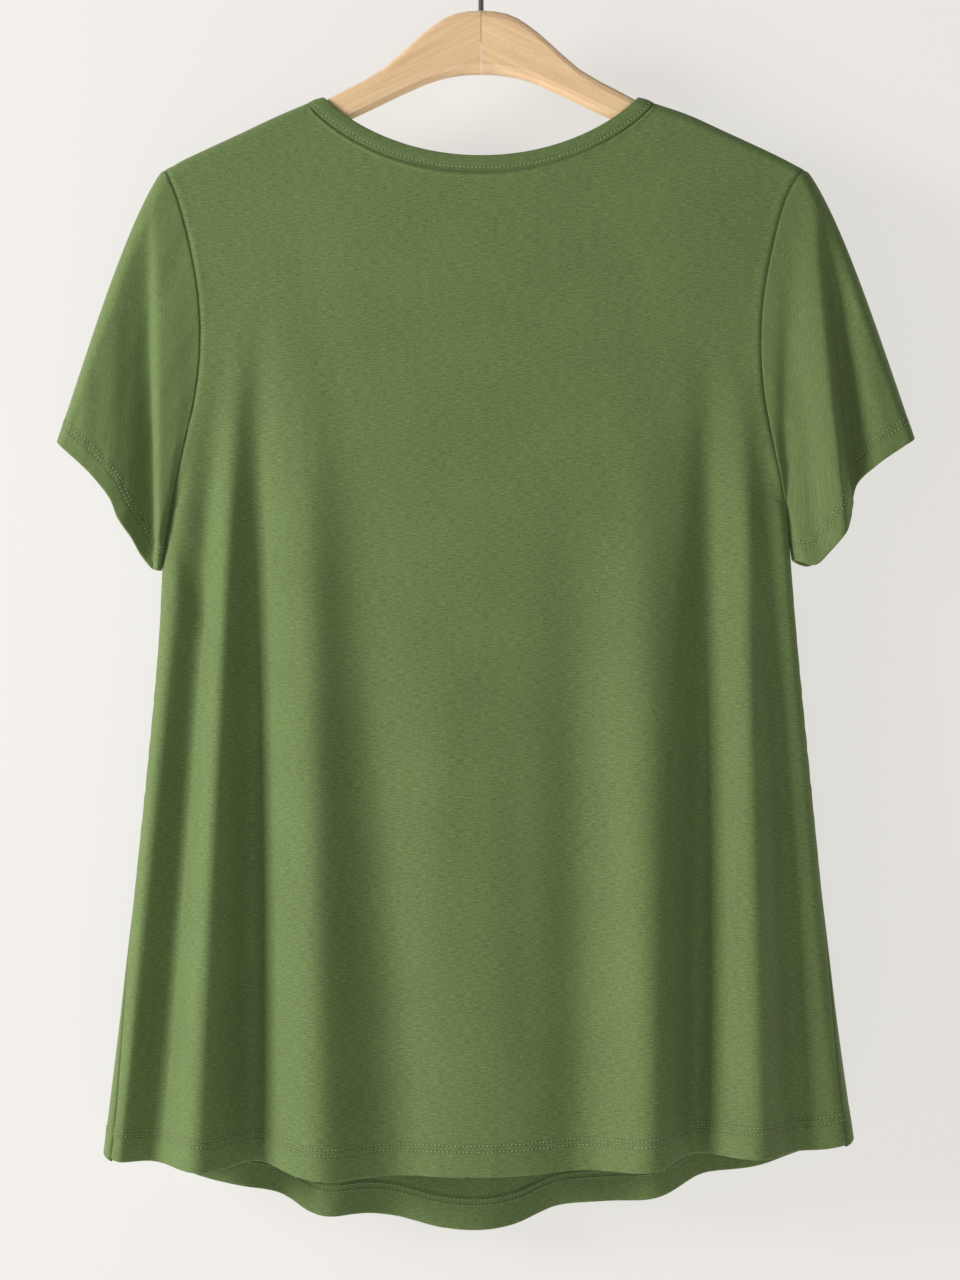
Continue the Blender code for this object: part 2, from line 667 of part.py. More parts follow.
def band_walls():
    """Outer and inner points of the binding: seam edge, middle, free edge; once round."""
    stations = []
    for facing, drop, free, powers in (
            (-1.0, BACK_NECK_DROP, BACK_BAND_DROP, BACK_NECK_POWERS),
            (1.0, FRONT_NECK_DROP, FRONT_BAND_DROP, FRONT_NECK_POWERS)):
        half = neck_shares(drop, powers)
        shares = np.concatenate([-half[::-1], half[1:]])
        if facing > 0:
            shares = shares[::-1][1:-1]
        for share in shares:
            low_z = neck_height(share, NECK_POINT_Z, drop, powers) + BAND_SEAM_GAP
            free_z = neck_height(share, NECK_POINT_Z + BAND_RISE, free, powers)
            low_x = share * (NECK_HALF - BAND_SEAM_GAP)
            free_x = share * BAND_HALF
            stations.append([neck_point(low_x + (free_x - low_x) * part,
                                        low_z + (free_z - low_z) * part, facing)
                             for part in (0.0, 0.5, 1.0)])
    outer = np.array(stations).transpose(1, 0, 2)
    normals = crest_normals(outer)
    return outer, outer - normals * BAND_WALL


def arm_edges(out, sign):
    """Top and bottom of the wood at a distance from the middle."""
    last = ARM[-1][0] * MM
    if out <= last:
        top = table_function(ARM, ARM_COLUMNS_NAMED, "out", "top")(out)
        return float(top), float(table_function(ARM, ARM_COLUMNS_NAMED, "out", "bottom")(out))
    top = ridge_height(sign * out) - ARM_UNDER_CLOTH
    height = ARM_HEIGHT - ARM_TAPER * (out - last) / (ARM_END - last)
    return top, top - height


def arm_section(out, sign):
    """Rounded section of the wood at a distance from the middle."""
    top, bottom = arm_edges(out, sign)
    height = top - bottom
    rounding = min(ARM_HALF_THICKNESS, height / 2) * ARM_ROUNDING
    narrow = 1.0
    left = ARM_END - out
    if left < ARM_END_RADIUS:
        narrow = math.sqrt(max(1 - (1 - left / ARM_END_RADIUS) ** 2, ARM_END_LEFT))
    middle = (top + bottom) / 2
    height *= narrow
    points = []
    for corner, (side, end) in enumerate(((1, 1), (-1, 1), (-1, -1), (1, -1))):
        for step in range(ARM_POINTS // 4):
            angle = math.radians(90 * corner + 90 * step / (ARM_POINTS // 4 - 1))
            r = min(rounding, height / 2)
            y = side * (ARM_HALF_THICKNESS - r) + r * math.cos(angle)
            z = end * (height / 2 - r) + r * math.sin(angle)
            points.append((sign * out, y, middle + z))
    return points


def hanger_arm(name, sign, collection, finish):
    """One wooden arm, lofted from the glue joint at the middle to its rounded end."""
    outs = [SEAM_GAP / 2] + [row[0] * MM for row in ARM[1:]]
    outs += [station * MM for station in ARM_STATIONS_MM]
    sections = [arm_section(out, sign) for out in outs]
    points = [point for section in sections for point in section]
    size = len(sections[0])
    faces = []
    for step in range(len(sections) - 1):
        for spot in range(size):
            following = (spot + 1) % size
            faces.append((step * size + spot, step * size + following,
                          (step + 1) * size + following, (step + 1) * size + spot))
    faces.append(tuple(range(size)))
    faces.append(tuple((len(sections) - 1) * size + spot for spot in range(size)))
    return mesh_object(name, points, faces, collection, finish)


def hook_route():
    """Middle line of the bent wire, from inside the wood to the tip."""
    centre = WIRE / 2 - HOOK_RADIUS
    begin, finish = (math.radians(angle) for angle in HOOK_ANGLES)
    low = WOOD_TOP_Z - HOLE_DEPTH + TIP_ROOM
    leaving, arriving = (pull * MM for pull in SWAN_PULLS_MM)
    arc_start = Vector((HOOK_RADIUS * math.cos(begin), 0, centre + HOOK_RADIUS * math.sin(begin)))
    heading = Vector((-math.sin(begin), 0, math.cos(begin)))
    bend = [Vector((0, 0, HOOK_NECK_Z)), Vector((0, 0, HOOK_NECK_Z + leaving)),
            arc_start - heading * arriving, arc_start]
    route = [Vector((0, 0, low))] + [Vector((0, 0, z * MM)) for z in SHANK_Z_MM]
    for step in range(SWAN_STEPS):
        t = step / SWAN_STEPS
        a, b, c, d = ((1 - t) ** 3, 3 * t * (1 - t) ** 2, 3 * t * t * (1 - t), t ** 3)
        route.append(bend[0] * a + bend[1] * b + bend[2] * c + bend[3] * d)
    for step in range(HOOK_STEPS + 1):
        angle = begin + (finish - begin) * step / HOOK_STEPS
        route.append(Vector((HOOK_RADIUS * math.cos(angle), 0,
                             centre + HOOK_RADIUS * math.sin(angle))))
    return route


def hanger_hook(collection, finish):
    """The hook: a round wire along its route, with filled ends."""
    data = bpy.data.curves.new("hanger_hook", "CURVE")
    data.dimensions = "3D"
    data.bevel_depth = WIRE / 2
    data.bevel_resolution = 2
    data.use_fill_caps = True
    route = hook_route()
    spline = data.splines.new("POLY")
    spline.points.add(len(route) - 1)
    for point, place in zip(spline.points, route):
        point.co = (*place, 1.0)
    data.materials.append(finish)
    made = bpy.data.objects.new("hanger_hook", data)
    collection.objects.link(made)
    return made


def bore_cutter(collection):
    """Cutter for the hook's blind hole, half of it in each arm."""
    work = bmesh.new()
    bmesh.ops.create_cone(work, cap_ends=True, segments=16, radius1=HOLE_RADIUS,
                          radius2=HOLE_RADIUS, depth=2 * HOLE_DEPTH)
    mesh = bpy.data.meshes.new("hook_bore")
    work.to_mesh(mesh)
    work.free()
    cutter = bpy.data.objects.new("hook_bore", mesh)
    cutter.location = (0, 0, WOOD_TOP_Z)
    cutter.hide_render = True
    cutter.display_type = "WIRE"
    collection.objects.link(cutter)
    return cutter


def clear_scene():
    for old in list(bpy.data.objects):
        bpy.data.objects.remove(old, do_unlink=True)


def new_collection(name):
    made = bpy.data.collections.new(name)
    bpy.context.scene.collection.children.link(made)
    return made


def main():
    clear_scene()
    shirt = new_collection("tshirt_on_hanger")
    cutters = new_collection("cutters")
    jersey = material("green_jersey", (0.134, 0.186, 0.070), 0.85)
    binding = material("green_binding", (0.125, 0.175, 0.065), 0.85)
    wood = material("pale_wood", (0.80, 0.50, 0.28), 0.45)
    steel = material("bright_wire", (0.75, 0.75, 0.76), 0.2, 1.0)
    back = panel_walls("back")
    front = panel_walls("front")
    wall_object("back_panel", *back, shirt, jersey)
    wall_object("front_panel", *front, shirt, jersey)
    wall_object("sleeve_left", *sleeve_walls(-1, back, front), shirt, jersey, closed=True)
    wall_object("sleeve_right", *sleeve_walls(1, back, front), shirt, jersey, closed=True)
    wall_object("neck_band", *band_walls(), shirt, binding, closed=True)
    cutter = bore_cutter(cutters)
    for name, sign in (("hanger_arm_left", -1), ("hanger_arm_right", 1)):
        arm = hanger_arm(name, sign, shirt, wood)
        bore = arm.modifiers.new("hook_bore", "BOOLEAN")
        bore.operation = "DIFFERENCE"
        bore.object = cutter
    hanger_hook(shirt, steel)


if __name__ == "__main__":
    main()
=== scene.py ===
"""The looks of a flared short-sleeved jersey t-shirt hanging on a wooden hanger.

Metres, +Z up, in the frame of the solids: the origin is under the wire at the top of the hook,
-Y is the side that the photograph shows (the garment's back) and -X is its left.
Each piece of cloth is a thin shell on its solid's form, worked out on a fine grid, with turned
hems, pressed seams and soft creases. The stitches are laid by a Geometry Nodes tree.
"""

import math

import bpy
import numpy as np
from bpy.props import FloatProperty, FloatVectorProperty, IntProperty, PointerProperty
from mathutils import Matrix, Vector


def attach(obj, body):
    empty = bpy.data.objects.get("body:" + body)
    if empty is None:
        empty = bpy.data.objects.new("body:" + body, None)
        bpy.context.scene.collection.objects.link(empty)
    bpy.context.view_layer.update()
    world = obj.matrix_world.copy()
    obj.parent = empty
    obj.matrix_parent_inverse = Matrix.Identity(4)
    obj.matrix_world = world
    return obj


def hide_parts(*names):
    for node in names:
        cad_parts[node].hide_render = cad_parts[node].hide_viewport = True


bl_info = {
    "name": "T-shirt on a hanger",
    "version": (1, 0, 0),
    "blender": (4, 5, 0),
    "location": "3D View > Sidebar > T-shirt",
    "description": "Makes a jersey t-shirt on a wooden hanger, piece by piece",
    "category": "Object",
}

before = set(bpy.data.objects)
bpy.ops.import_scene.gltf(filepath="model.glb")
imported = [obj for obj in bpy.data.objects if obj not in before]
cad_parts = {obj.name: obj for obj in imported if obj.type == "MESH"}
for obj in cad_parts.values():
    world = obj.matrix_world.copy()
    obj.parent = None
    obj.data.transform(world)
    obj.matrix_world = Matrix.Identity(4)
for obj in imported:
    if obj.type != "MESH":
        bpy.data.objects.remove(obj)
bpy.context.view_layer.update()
MM = 0.001

# Form of the cloth, the same sizes as the solids have
EDGE_LENGTH_TOP = 14.0 * MM
EDGE_LENGTH_HEM = 25.0 * MM
SEAM_SHIFT = 15.0 * MM
RIDGE_RADIUS = 8.3 * MM
NECK_POINT_Z = -122.5 * MM
NECK_HALF = 112.8 * MM
BAND_HALF = 102.7 * MM
BAND_RISE = 3.9 * MM
NECK_SLOPE = 0.38
NECK = {
    "back": {"drop": 46.2 * MM, "band_drop": 39.8 * MM, "powers": (2.05, 0.81)},
    "front": {"drop": 100.0 * MM, "band_drop": 93.5 * MM, "powers": (2.1, 0.62)},
}
ROW_DROPS_MM = (0, 3, 6, 9, 12.5, 22, 45, 75, 105, 135, 165, 190, 206, 217, 223, 226)
UNDERARM_DROP = 226.0 * MM
UNDERARM_START = 190.0 * MM
ARMHOLE_ROWS = 16
TOTAL_DROP = 641.0 * MM
KEPT_DROP = 19.0 * MM          # the last rows of a panel keep their distance from the hem
KEPT_BLEND = 80.0 * MM         # above the hem, where the rows begin to do so
EDGE_GROWS_FROM = 300.0 * MM   # drop from which the turned side gets wider
SEAM_SHIFT_FROM = 430.0 * MM   # drop from which the side seam moves off the middle plane
SIDE_DEPTH = 9.0 * MM          # depth of a panel at its armhole
SIDE_FLATTENING = 4            # power by which the depth changes towards the side
COLUMNS_EVEN_FROM = 90.0 * MM  # drop from which the columns even out, and over what length
COLUMNS_EVEN_OVER = 160.0 * MM
CREST_BLEND = 60.0 * MM        # drop over which the shoulder line's slope is left behind
HEM_CURVE = 2.2
FOLD_TOP_DROP = 250.0 * MM     # drop at which a fold has its top place and width
FOLD_GROWTH = 0.62
CREASE_FADE = 0.34             # share of a crease's length over which it fades at each end

# Spacing of the points, in rows and columns or in steps
NECK_SAMPLES = 800
NECK_FINE = 26.0 * MM          # length by the shoulder where the neck's columns are closer
PANEL_NECK_STEPS = (1.3 * MM, 2.7 * MM)
BAND_NECK_STEPS = (1.0 * MM, 1.6 * MM)
ARMHOLE_FINE_ROWS = 82
GROWING_STEPS_MM = (0.9, 1.3, 1.8, 2.6, 3.6, 4.6)
BODY_ROWS = 76
HEM_FINE = 25.0 * MM
HEM_ROWS = 32
SHOULDER_COLUMNS = 30
FROM_SIDE_MM = (11.2, 9.0, 7.1, 5.4, 4.0, 2.9, 2.0, 1.3, 0.8, 0.4, 0.0)
FROM_SEAM_MM = (0, 0.35, 0.7, 1.1, 1.6, 2.4, 3.6, 5.5, 8.0)
FROM_CUFF_MM = (21.0, 19.0, 17.8, 16.9, 16.1, 15.4, 14.8, 14.2, 13.5, 12.6, 11.9,
                11.3, 10.7, 10.1, 9.0, 7.4, 5.8, 4.2, 2.9, 1.7, 0.8, 0.0)
SLEEVE_RINGS = 50
CUFF_TURN_DEGREES = (0, 24, 46, 68, 90)
RIM_ROWS = 4

SHOULDER_COLUMNS_NAMED = ("out", "left_drop", "right_drop")
SHOULDER = (
    (112.8, 0.0, 0.0),
    (134.0, 9.1, 7.2),
    (157.0, 20.0, 17.6),
    (180.0, 30.6, 28.2),
    (195.0, 37.8, 35.4),
    (203.0, 42.4, 39.6),
    (206.3, 43.5, 41.6),
    (211.2, 45.5, 43.5),
)
SIDE_COLUMNS_NAMED = ("drop", "left", "right")
SIDE = (
    (0.0, 206.3, 211.2),
    (30.0, 195.3, 196.8),
    (70.0, 184.9, 185.6),
    (116.0, 181.4, 180.9),
    (150.0, 184.6, 182.8),
    (185.0, 192.4, 189.2),
    (226.0, 201.5, 198.0),
    (258.0, 206.3, 200.8),
    (300.0, 208.6, 204.1),
    (400.0, 217.4, 213.4),
    (500.0, 228.1, 223.6),
    (600.0, 239.9, 236.0),
    (641.0, 245.0, 242.0),
)
DEPTH_COLUMNS_NAMED = ("drop", "back", "front")
DEPTH = (
    (0.0, 8.3, 8.3),
    (30.0, 8.5, 8.5),
    (110.0, 10.0, 10.5),
    (226.0, 13.0, 13.0),
    (400.0, 18.0, 18.0),
    (641.0, 23.0, 22.0),
)
# Hem heights: middle, left side, right side
HEM_Z = {
    "back": (-815.0 * MM, -807.0 * MM, -799.0 * MM),
    "front": (-858.0 * MM, -807.0 * MM, -799.0 * MM),
}
# How much higher the hem edges hang than a plain curve, by distance from the middle
HEM_LIFT_COLUMNS_NAMED = ("x", "back", "front")
HEM_LIFT = (
    (-246, 3.8, 3.8),
    (-215, 1.5, 5.0),
    (-185, 3.0, 6.8),
    (-160, 2.8, 10.5),
    (-138, 5.0, 8.8),
    (-112, 1.8, 3.0),
    (-80, 0.7, 5.2),
    (-50, 1.4, 3.0),
    (-20, 1.8, 0.0),
    (20, 2.4, 0.3),
    (50, 3.2, 6.5),
    (82, 3.2, 11.0),
    (118, 5.0, 11.6),
    (146, 8.0, 13.6),
    (175, 7.2, 12.4),
    (208, 4.2, 8.8),
    (243, 5.2, 5.2),
)

# Large folds, as the solids have them
FOLD_COLUMNS_NAMED = ("x_top", "x_hem", "top_width", "hem_width", "height", "start")
FOLDS = {
    "back": (
        (-194, -232, 7, 12, 6, 130),
        (-177, -212, 9, 18, -15, 120),
        (-161, -180, 10, 22, 16, 110),
        (-147, -150, 12, 18, -22, 110),
        (-110, -101, 16, 24, 15, 150),
        (-78, -56, 20, 26, -6, 200),
        (-20, 0, 36, 40, 3, 260),
        (60, 70, 20, 29, -9.5, 230),
        (106, 106, 18, 25, 13, 180),
        (146, 137, 11, 16, -21, 130),
        (171, 177, 8, 17, 13, 140),
        (185, 205, 8, 13, -8, 150),
    ),
    "front": (
        (-175, -205, 10, 17, 8, 190),
        (-150, -160, 11, 17, -9, 190),
        (-112, -128, 12, 19, 8, 220),
        (-78, -102, 12, 20, -13, 200),
        (-48, -58, 12, 20, 7, 230),
        (-12, -10, 16, 26, -5, 260),
        (38, 50, 15, 25, 20, 200),
        (98, 113, 12, 20, -13, 200),
        (134, 146, 10, 16, 10, 210),
        (160, 182, 10, 16, -7, 200),
    ),
}

# Finer creases, given one by one. One row is a soft trough (height below 0) or ridge from one end
# to
# the other: x and z at both ends, width to each side, height outward.
CREASE_COLUMNS_NAMED = ("x_a", "z_a", "x_b", "z_b", "width", "height")
CREASES = {
    "back": (
        (-190, -205, -191, -236, 3.5, -0.9),
        (-181, -262, -190, -330, 6.0, -0.8),
        (-196, -396, -178, -470, 7.0, -1.4),
        (-168, -300, -176, -420, 9.0, 0.7),
        (186, -300, 192, -392, 7.0, -1.1),
        (172, -380, 186, -470, 8.0, 0.9),
        (-118, -190, -96, -330, 16.0, -0.5),
        (92, -200, 118, -350, 18.0, -0.5),
        (-20, -480, -34, -700, 15.0, 0.9),
        (22, -520, 30, -760, 13.0, -0.9),
        (-151, -520, -150, -770, 7.0, -0.9),
        (84, -560, 90, -770, 9.0, -1.0),
    ),
    "front": (
        (-188, -212, -186, -250, 4.0, -0.9),
        (-178, -285, -188, -352, 7.0, -0.9),
        (-196, -400, -176, -478, 7.0, -1.3),
        (184, -290, 190, -380, 7.0, -1.0),
        (190, -405, 174, -476, 8.0, -1.2),
        (-96, -236, -60, -330, 14.0, -0.8),
        (88, -232, 58, -318, 15.0, -0.7),
        (0, -250, 6, -330, 20.0, 0.8),
        (-84, -540, -72, -760, 9.0, 1.0),
        (12, -600, 16, -800, 10.0, 1.0),
        (76, -560, 82, -780, 9.0, -1.1),
        (124, -520, 132, -740, 8.0, 0.9),
    ),
}

CUFF_COLUMNS_NAMED = ("out", "z")
CUFF = {
    "left": (
        (274.3, -342.1),
        (247.7, -367.5),
        (238.6, -379.8),
        (234.0, -391.5),
        (225.6, -404.5),
        (219.7, -415.6),
        (212.0, -424.6),
        (208.0, -425.3),
    ),
    "right": (
        (280.8, -340.1),
        (268.5, -348.0),
        (254.2, -358.3),
        (243.6, -369.5),
        (240.8, -382.0),
        (236.6, -396.0),
        (224.3, -412.9),
        (215.0, -422.0),
        (202.6, -418.5),
    ),
}
SLEEVE_BULGE = 5.8 * MM
BULGE_OUT = 0.93               # direction of the bulge
BULGE_UP = 0.37
BULGE_PLACE = 0.6              # power that moves the bulge's middle towards the armhole
SLEEVE_FOLD_START = 0.25
SLEEVE_FOLD_GROWTH = 0.9
SLEEVE_FOLD_REACH = 0.25       # share of the sleeve over which folds grow from the armhole
SLEEVE_CREASE_REACH = 0.2
FAR_FOLD_SHARE = 0.6           # height of a fold on the far side
CALM_DEPTH = 3.0 * MM          # creases fade where the sleeve is flatter than this
SEAM_RINGS_LENGTH = 60.0 * MM  # shorter sleeve lines get closer rings at the seam
CUFF_RINGS_SHARE = 0.78
CUFF_RELIEF_LENGTH = 30.0 * MM
CUFF_HALF_DEPTH = 12.0 * MM
CUFF_ROUNDING = 8.0 * MM
SLEEVE_FOLD_COLUMNS_NAMED = ("out_top", "z_top", "out_low", "z_low",
                             "inner_width", "outer_width", "height")
SLEEVE_FOLDS = {
    "left": (
        (215.0, -205.0, 213.0, -405.0, 3.5, 12.5, -10.6),
        (208.0, -200.0, 207.5, -415.0, 22.0, 4.5, 1.6),
        (248.0, -235.0, 254.0, -390.0, 16.0, 10.0, 0.8),
    ),
    "right": (
        (214.5, -195.0, 233.5, -405.0, 12.0, 3.2, 8.0),
        (222.5, -195.0, 242.0, -385.0, 3.6, 11.0, -10.5),
        (198.0, -240.0, 197.0, -400.0, 7.0, 8.0, -4.0),
    ),
}
SLEEVE_CREASES = {
    "left": (
        (228.0, -250.0, 232.0, -370.0, 5.0, -0.8),
        (252.0, -300.0, 258.0, -355.0, 5.0, 0.8),
    ),
    "right": (
        (236.0, -260.0, 262.0, -345.0, 7.0, 1.0),
        (206.0, -300.0, 214.0, -405.0, 6.0, -1.2),
    ),
}

# Seams and hems
FLANGE = 1.2 * MM              # how far a panel runs on under the binding
SEAM_DENT = 0.6 * MM
SEAM_WIDTH = 1.1 * MM
HEM_STITCHES = (15.6 * MM, 19.5 * MM)    # distance of the two rows from the hem edge
CUFF_STITCHES = (11.0 * MM, 14.6 * MM)
TURN_UP = 21.5 * MM            # how wide the turned-up hem is
CUFF_TURN_UP = 16.5 * MM
STITCH_DENT = 0.32 * MM
STITCH_DENT_WIDTH = 0.8 * MM
# painted shade: how dark a row of stitches is painted in its groove, then the width of that shade
STITCH_SHADE = 0.6
STITCH_SHADE_WIDTH = 1.0 * MM
STITCH_PUCKER_WIDTH = 2.6 * MM
STITCH_ROOM = 2.0 * MM         # cloth that a column needs above a row of stitches
HEM_RAISED = 0.22 * MM
HEM_RAISED_OVER = 1.6 * MM
HEM_WALL_OVER = 0.9 * MM       # length over which the wall thickens at a turned-up hem
HEM_PUCKER = 0.20 * MM
CUFF_PUCKER = 0.30 * MM
SIDE_PUCKER = 0.16 * MM        # small waves: height, then distance from the seam, then width
SIDE_PUCKER_PLACE = 3.0 * MM
SIDE_PUCKER_WIDTH = 3.5 * MM
SIDE_RIDGE = 0.24 * MM         # the raised allowance beside a seam, in the same order
SIDE_RIDGE_PLACE = 3.4 * MM
SIDE_RIDGE_WIDTH = 1.8 * MM
NECK_DENT = 0.55 * MM
NECK_DENT_BLEND = 4.0 * MM
NECK_RIDGE = 0.42 * MM
NECK_RIDGE_PLACE = 2.4 * MM
NECK_RIDGE_WIDTH = 1.3 * MM
NECK_PUCKER = 0.10 * MM
NECK_PUCKER_PLACE = 2.0 * MM
NECK_PUCKER_WIDTH = 4.0 * MM
SHOULDER_DENT = 0.4 * MM
SLEEVE_PUCKER = 0.14 * MM
SLEEVE_PUCKER_PLACE = 3.0 * MM
SLEEVE_PUCKER_WIDTH = 4.0 * MM
PUCKER_LENGTHS_MM = (7.1, 11.3, 18.9)
BAND_STITCH_SHARE = 0.27       # place of the topstitch between the binding's seam and its edge
BAND_PARTS = (0.0, 0.07, 0.14, 0.2, BAND_STITCH_SHARE, 0.34, 0.42, 0.55, 0.68, 0.8, 0.9, 0.96, 1.0)
BAND_WIDTH_MM = 10
BAND_RAISED = 0.15 * MM
BAND_SWELL = 0.62 * MM
BAND_SWELL_PLACE = 0.8
BAND_STITCH_DENT = 0.34 * MM
BAND_STITCH_WIDTH = 0.7 * MM
# painted shade on the binding: how dark its topstitch groove is painted, then the width of the
# shade at the topstitch and at the seam
BAND_STITCH_SHADE = 0.7
BAND_SHADE_WIDTH = 0.8 * MM
BAND_PUCKER = 0.07 * MM
BAND_TUCK = 0.35 * MM          # how far the binding's first row lies in its seam

# Sewing thread, as shares of its width or of a stitch's size, and in radians
THREAD_FLATNESS = 0.8
STITCH_UNEVENNESS = 0.12
STITCH_SWING = 0.22
STITCH_LIFT = 0.12

# Knit
WALE = 0.84 * MM
COURSE = 0.66 * MM

# Studio, in metres
BACKDROP_TOP = 2.2
BACKDROP_FRONT = -4.5
BACKDROP_RADIUS = 0.35
BACKDROP_HALF = 4.0
BACKDROP_STEPS = 16
KEY_PLACE = (-2.1, -1.0, 0.0)
KEY_AIM = (0.0, 0.0, -0.48)
KEY_SIZE = 0.8
KEY_TINT = (1.0, 0.985, 0.96)
FILL_PLACE = (0.1, -1.9, -0.78)
FILL_AIM = (0.0, 0.0, -0.6)
FILL_SIZE = 1.0
FILL_TINT = (0.97, 0.985, 1.0)
SKY_TINT = (1.0, 0.99, 0.975, 1.0)
SENSOR_HEIGHT_MM = 36.0
EYE_X = -0.65 * MM


def smooth(value):
    """Ease from 0 to 1."""
    value = np.clip(value, 0.0, 1.0)
    return value * value * (3.0 - 2.0 * value)


def bump(distance, width):
    """A soft bump of height 1."""
    return np.exp(-(distance / width) ** 2)


def column(table, names, name):
    """One named column of a table in millimetres, in metres."""
    place = names.index(name)
    return np.array([row[place] for row in table], dtype=float) * MM


def named_rows(table, names):
    """Each row of a table as named numbers in metres."""
    return [dict(zip(names, (number * MM for number in row))) for row in table]


def curve_through(xs, ys):
    """A smooth function through the table's points (cubic between them)."""
    slopes = np.gradient(ys, xs)

    def value(x):
        x = np.clip(x, xs[0], xs[-1])
        index = np.clip(np.searchsorted(xs, x) - 1, 0, len(xs) - 2)
        step = xs[index + 1] - xs[index]
        part = (x - xs[index]) / step
        a = (1 + 2 * part) * (1 - part) ** 2 * ys[index]
        b = part * (1 - part) ** 2 * step * slopes[index]
        c = part ** 2 * (3 - 2 * part) * ys[index + 1]
        d = part ** 2 * (part - 1) * step * slopes[index + 1]
        return a + b + c + d

    return value


def table_function(table, names, key, value):
    """A smooth function from one named column to another."""
    return curve_through(column(table, names, key), column(table, names, value))


HALF_WIDTH = {side: table_function(SIDE, SIDE_COLUMNS_NAMED, "drop", side)
              for side in ("left", "right")}
SHOULDER_DROP = {side: table_function(SHOULDER, SHOULDER_COLUMNS_NAMED, "out", side + "_drop")
                 for side in ("left", "right")}
PANEL_DEPTH = {panel: table_function(DEPTH, DEPTH_COLUMNS_NAMED, "drop", panel)
               for panel in ("back", "front")}
HEM_RISE = {panel: table_function(HEM_LIFT, HEM_LIFT_COLUMNS_NAMED, "x", panel)
            for panel in ("back", "front")}
ARMHOLE_DROP = curve_through(np.arange(ARMHOLE_ROWS, dtype=float), np.array(ROW_DROPS_MM) * MM)


def side_name(sign):
    return "left" if sign < 0 else "right"


def ridge_height(x):
    """Height of the shoulder line, which runs on upwards inside the neck."""
    x = np.asarray(x, dtype=float)
    out = np.abs(x)
    fallen = np.where(x < 0, SHOULDER_DROP["left"](out), SHOULDER_DROP["right"](out))
    inside = NECK_POINT_Z + (NECK_HALF - out) * NECK_SLOPE
    return np.where(out < NECK_HALF, inside, NECK_POINT_Z - fallen)


def ridge_profile(length):
    """Drop and share of the full depth, a given length down from the shoulder line."""
    quarter = math.pi * RIDGE_RADIUS / 2
    angle = np.clip(length, 0.0, quarter) / RIDGE_RADIUS
    fallen = RIDGE_RADIUS * (1 - np.cos(angle)) + np.maximum(length - quarter, 0.0)
    return fallen, np.sin(angle)


def ridge_length(drop):
    """Length down the cloth that makes a given drop."""
    turned = RIDGE_RADIUS * np.arccos(1 - np.clip(drop, 0.0, RIDGE_RADIUS) / RIDGE_RADIUS)
    return turned + np.maximum(drop - RIDGE_RADIUS, 0.0)


def neck_height(share, point_z, drop, powers):
    """Height of a neckline at a share of its half width."""
    return point_z - drop * (1 - np.minimum(np.abs(share), 1.0) ** powers[0]) ** powers[1]


def neck_shares(panel, near_step, even_step):
    """Shares of the half width, from the middle out, spaced closer towards the shoulder."""
    sizes = NECK[panel]
    shares = np.linspace(0.0, 1.0, NECK_SAMPLES)
    heights = neck_height(shares, 0.0, sizes["drop"], sizes["powers"])
    steps = np.hypot(np.diff(shares * NECK_HALF), np.diff(heights))
    lengths = np.concatenate([[0.0], np.cumsum(steps)])
    near = np.arange(NECK_FINE, -near_step / 2, -near_step)
    near = lengths[-1] - np.append(near[near > near_step / 2], 0.0)
    even = np.linspace(0.0, near[0], max(int(near[0] / even_step), 2) + 1)[:-1]
    return np.interp(np.concatenate([even, near]), lengths, shares)


def fold_height(panel, x, drop):
    """Sum of the body's large folds at a place, in metres outward."""
    value = np.zeros_like(x)
    down = (drop - FOLD_TOP_DROP) / (TOTAL_DROP - FOLD_TOP_DROP)
    for row in named_rows(FOLDS[panel], FOLD_COLUMNS_NAMED):
        middle = row["x_top"] + (row["x_hem"] - row["x_top"]) * down
        width = row["top_width"] + (row["hem_width"] - row["top_width"]) * np.clip(down, 0, 1)
        grown = smooth((drop - row["start"]) / (TOTAL_DROP - row["start"])) ** FOLD_GROWTH
        value += row["height"] * grown * bump(x - middle, width)
    return value


def crease_height(table, x, z):
    """Sum of the fine creases at a place, in metres outward."""
    value = np.zeros_like(x)
    for row in named_rows(table, CREASE_COLUMNS_NAMED):
        run_x, run_z = row["x_b"] - row["x_a"], row["z_b"] - row["z_a"]
        length = math.hypot(run_x, run_z)
        along = ((x - row["x_a"]) * run_x + (z - row["z_a"]) * run_z) / length ** 2
        across = ((x - row["x_a"]) * run_z - (z - row["z_a"]) * run_x) / length
        fading = smooth((along + 0.12) / CREASE_FADE) * smooth((1.12 - along) / CREASE_FADE)
        value += row["height"] * fading * bump(across, row["width"])
    return value


def pucker(along, seed):
    """Uneven small waves along a seam, from about -1 to 1."""
    value = 0.0
    for step, length in enumerate(PUCKER_LENGTHS_MM):
        wander = 1.1 * np.sin(along / (31 * MM) + seed * 2.3 + step)
        phase = 2 * math.pi * along / (length * MM) + seed * 1.7 + step * 2.1 + wander
        value = value + np.sin(phase) * (0.42 + 0.16 * step)
    return value * (0.55 + 0.45 * np.sin(along / (47 * MM) + seed * 3.1))


def turn_share(drop):
    """0 where the panel runs on into the sleeve, 1 where it turns round the side."""
    part = np.clip((drop - UNDERARM_START) / (UNDERARM_DROP - UNDERARM_START), 0.0, 1.0)
    return 1.0 - np.sqrt(1.0 - part * part)


def edge_turn(drop):
    """Length and radius of the cloth that turns round the side at a drop."""
    lower = smooth((drop - EDGE_GROWS_FROM) / (TOTAL_DROP - EDGE_GROWS_FROM))
    edge = EDGE_LENGTH_TOP + (EDGE_LENGTH_HEM - EDGE_LENGTH_TOP) * lower
    return edge, edge * 2 / math.pi


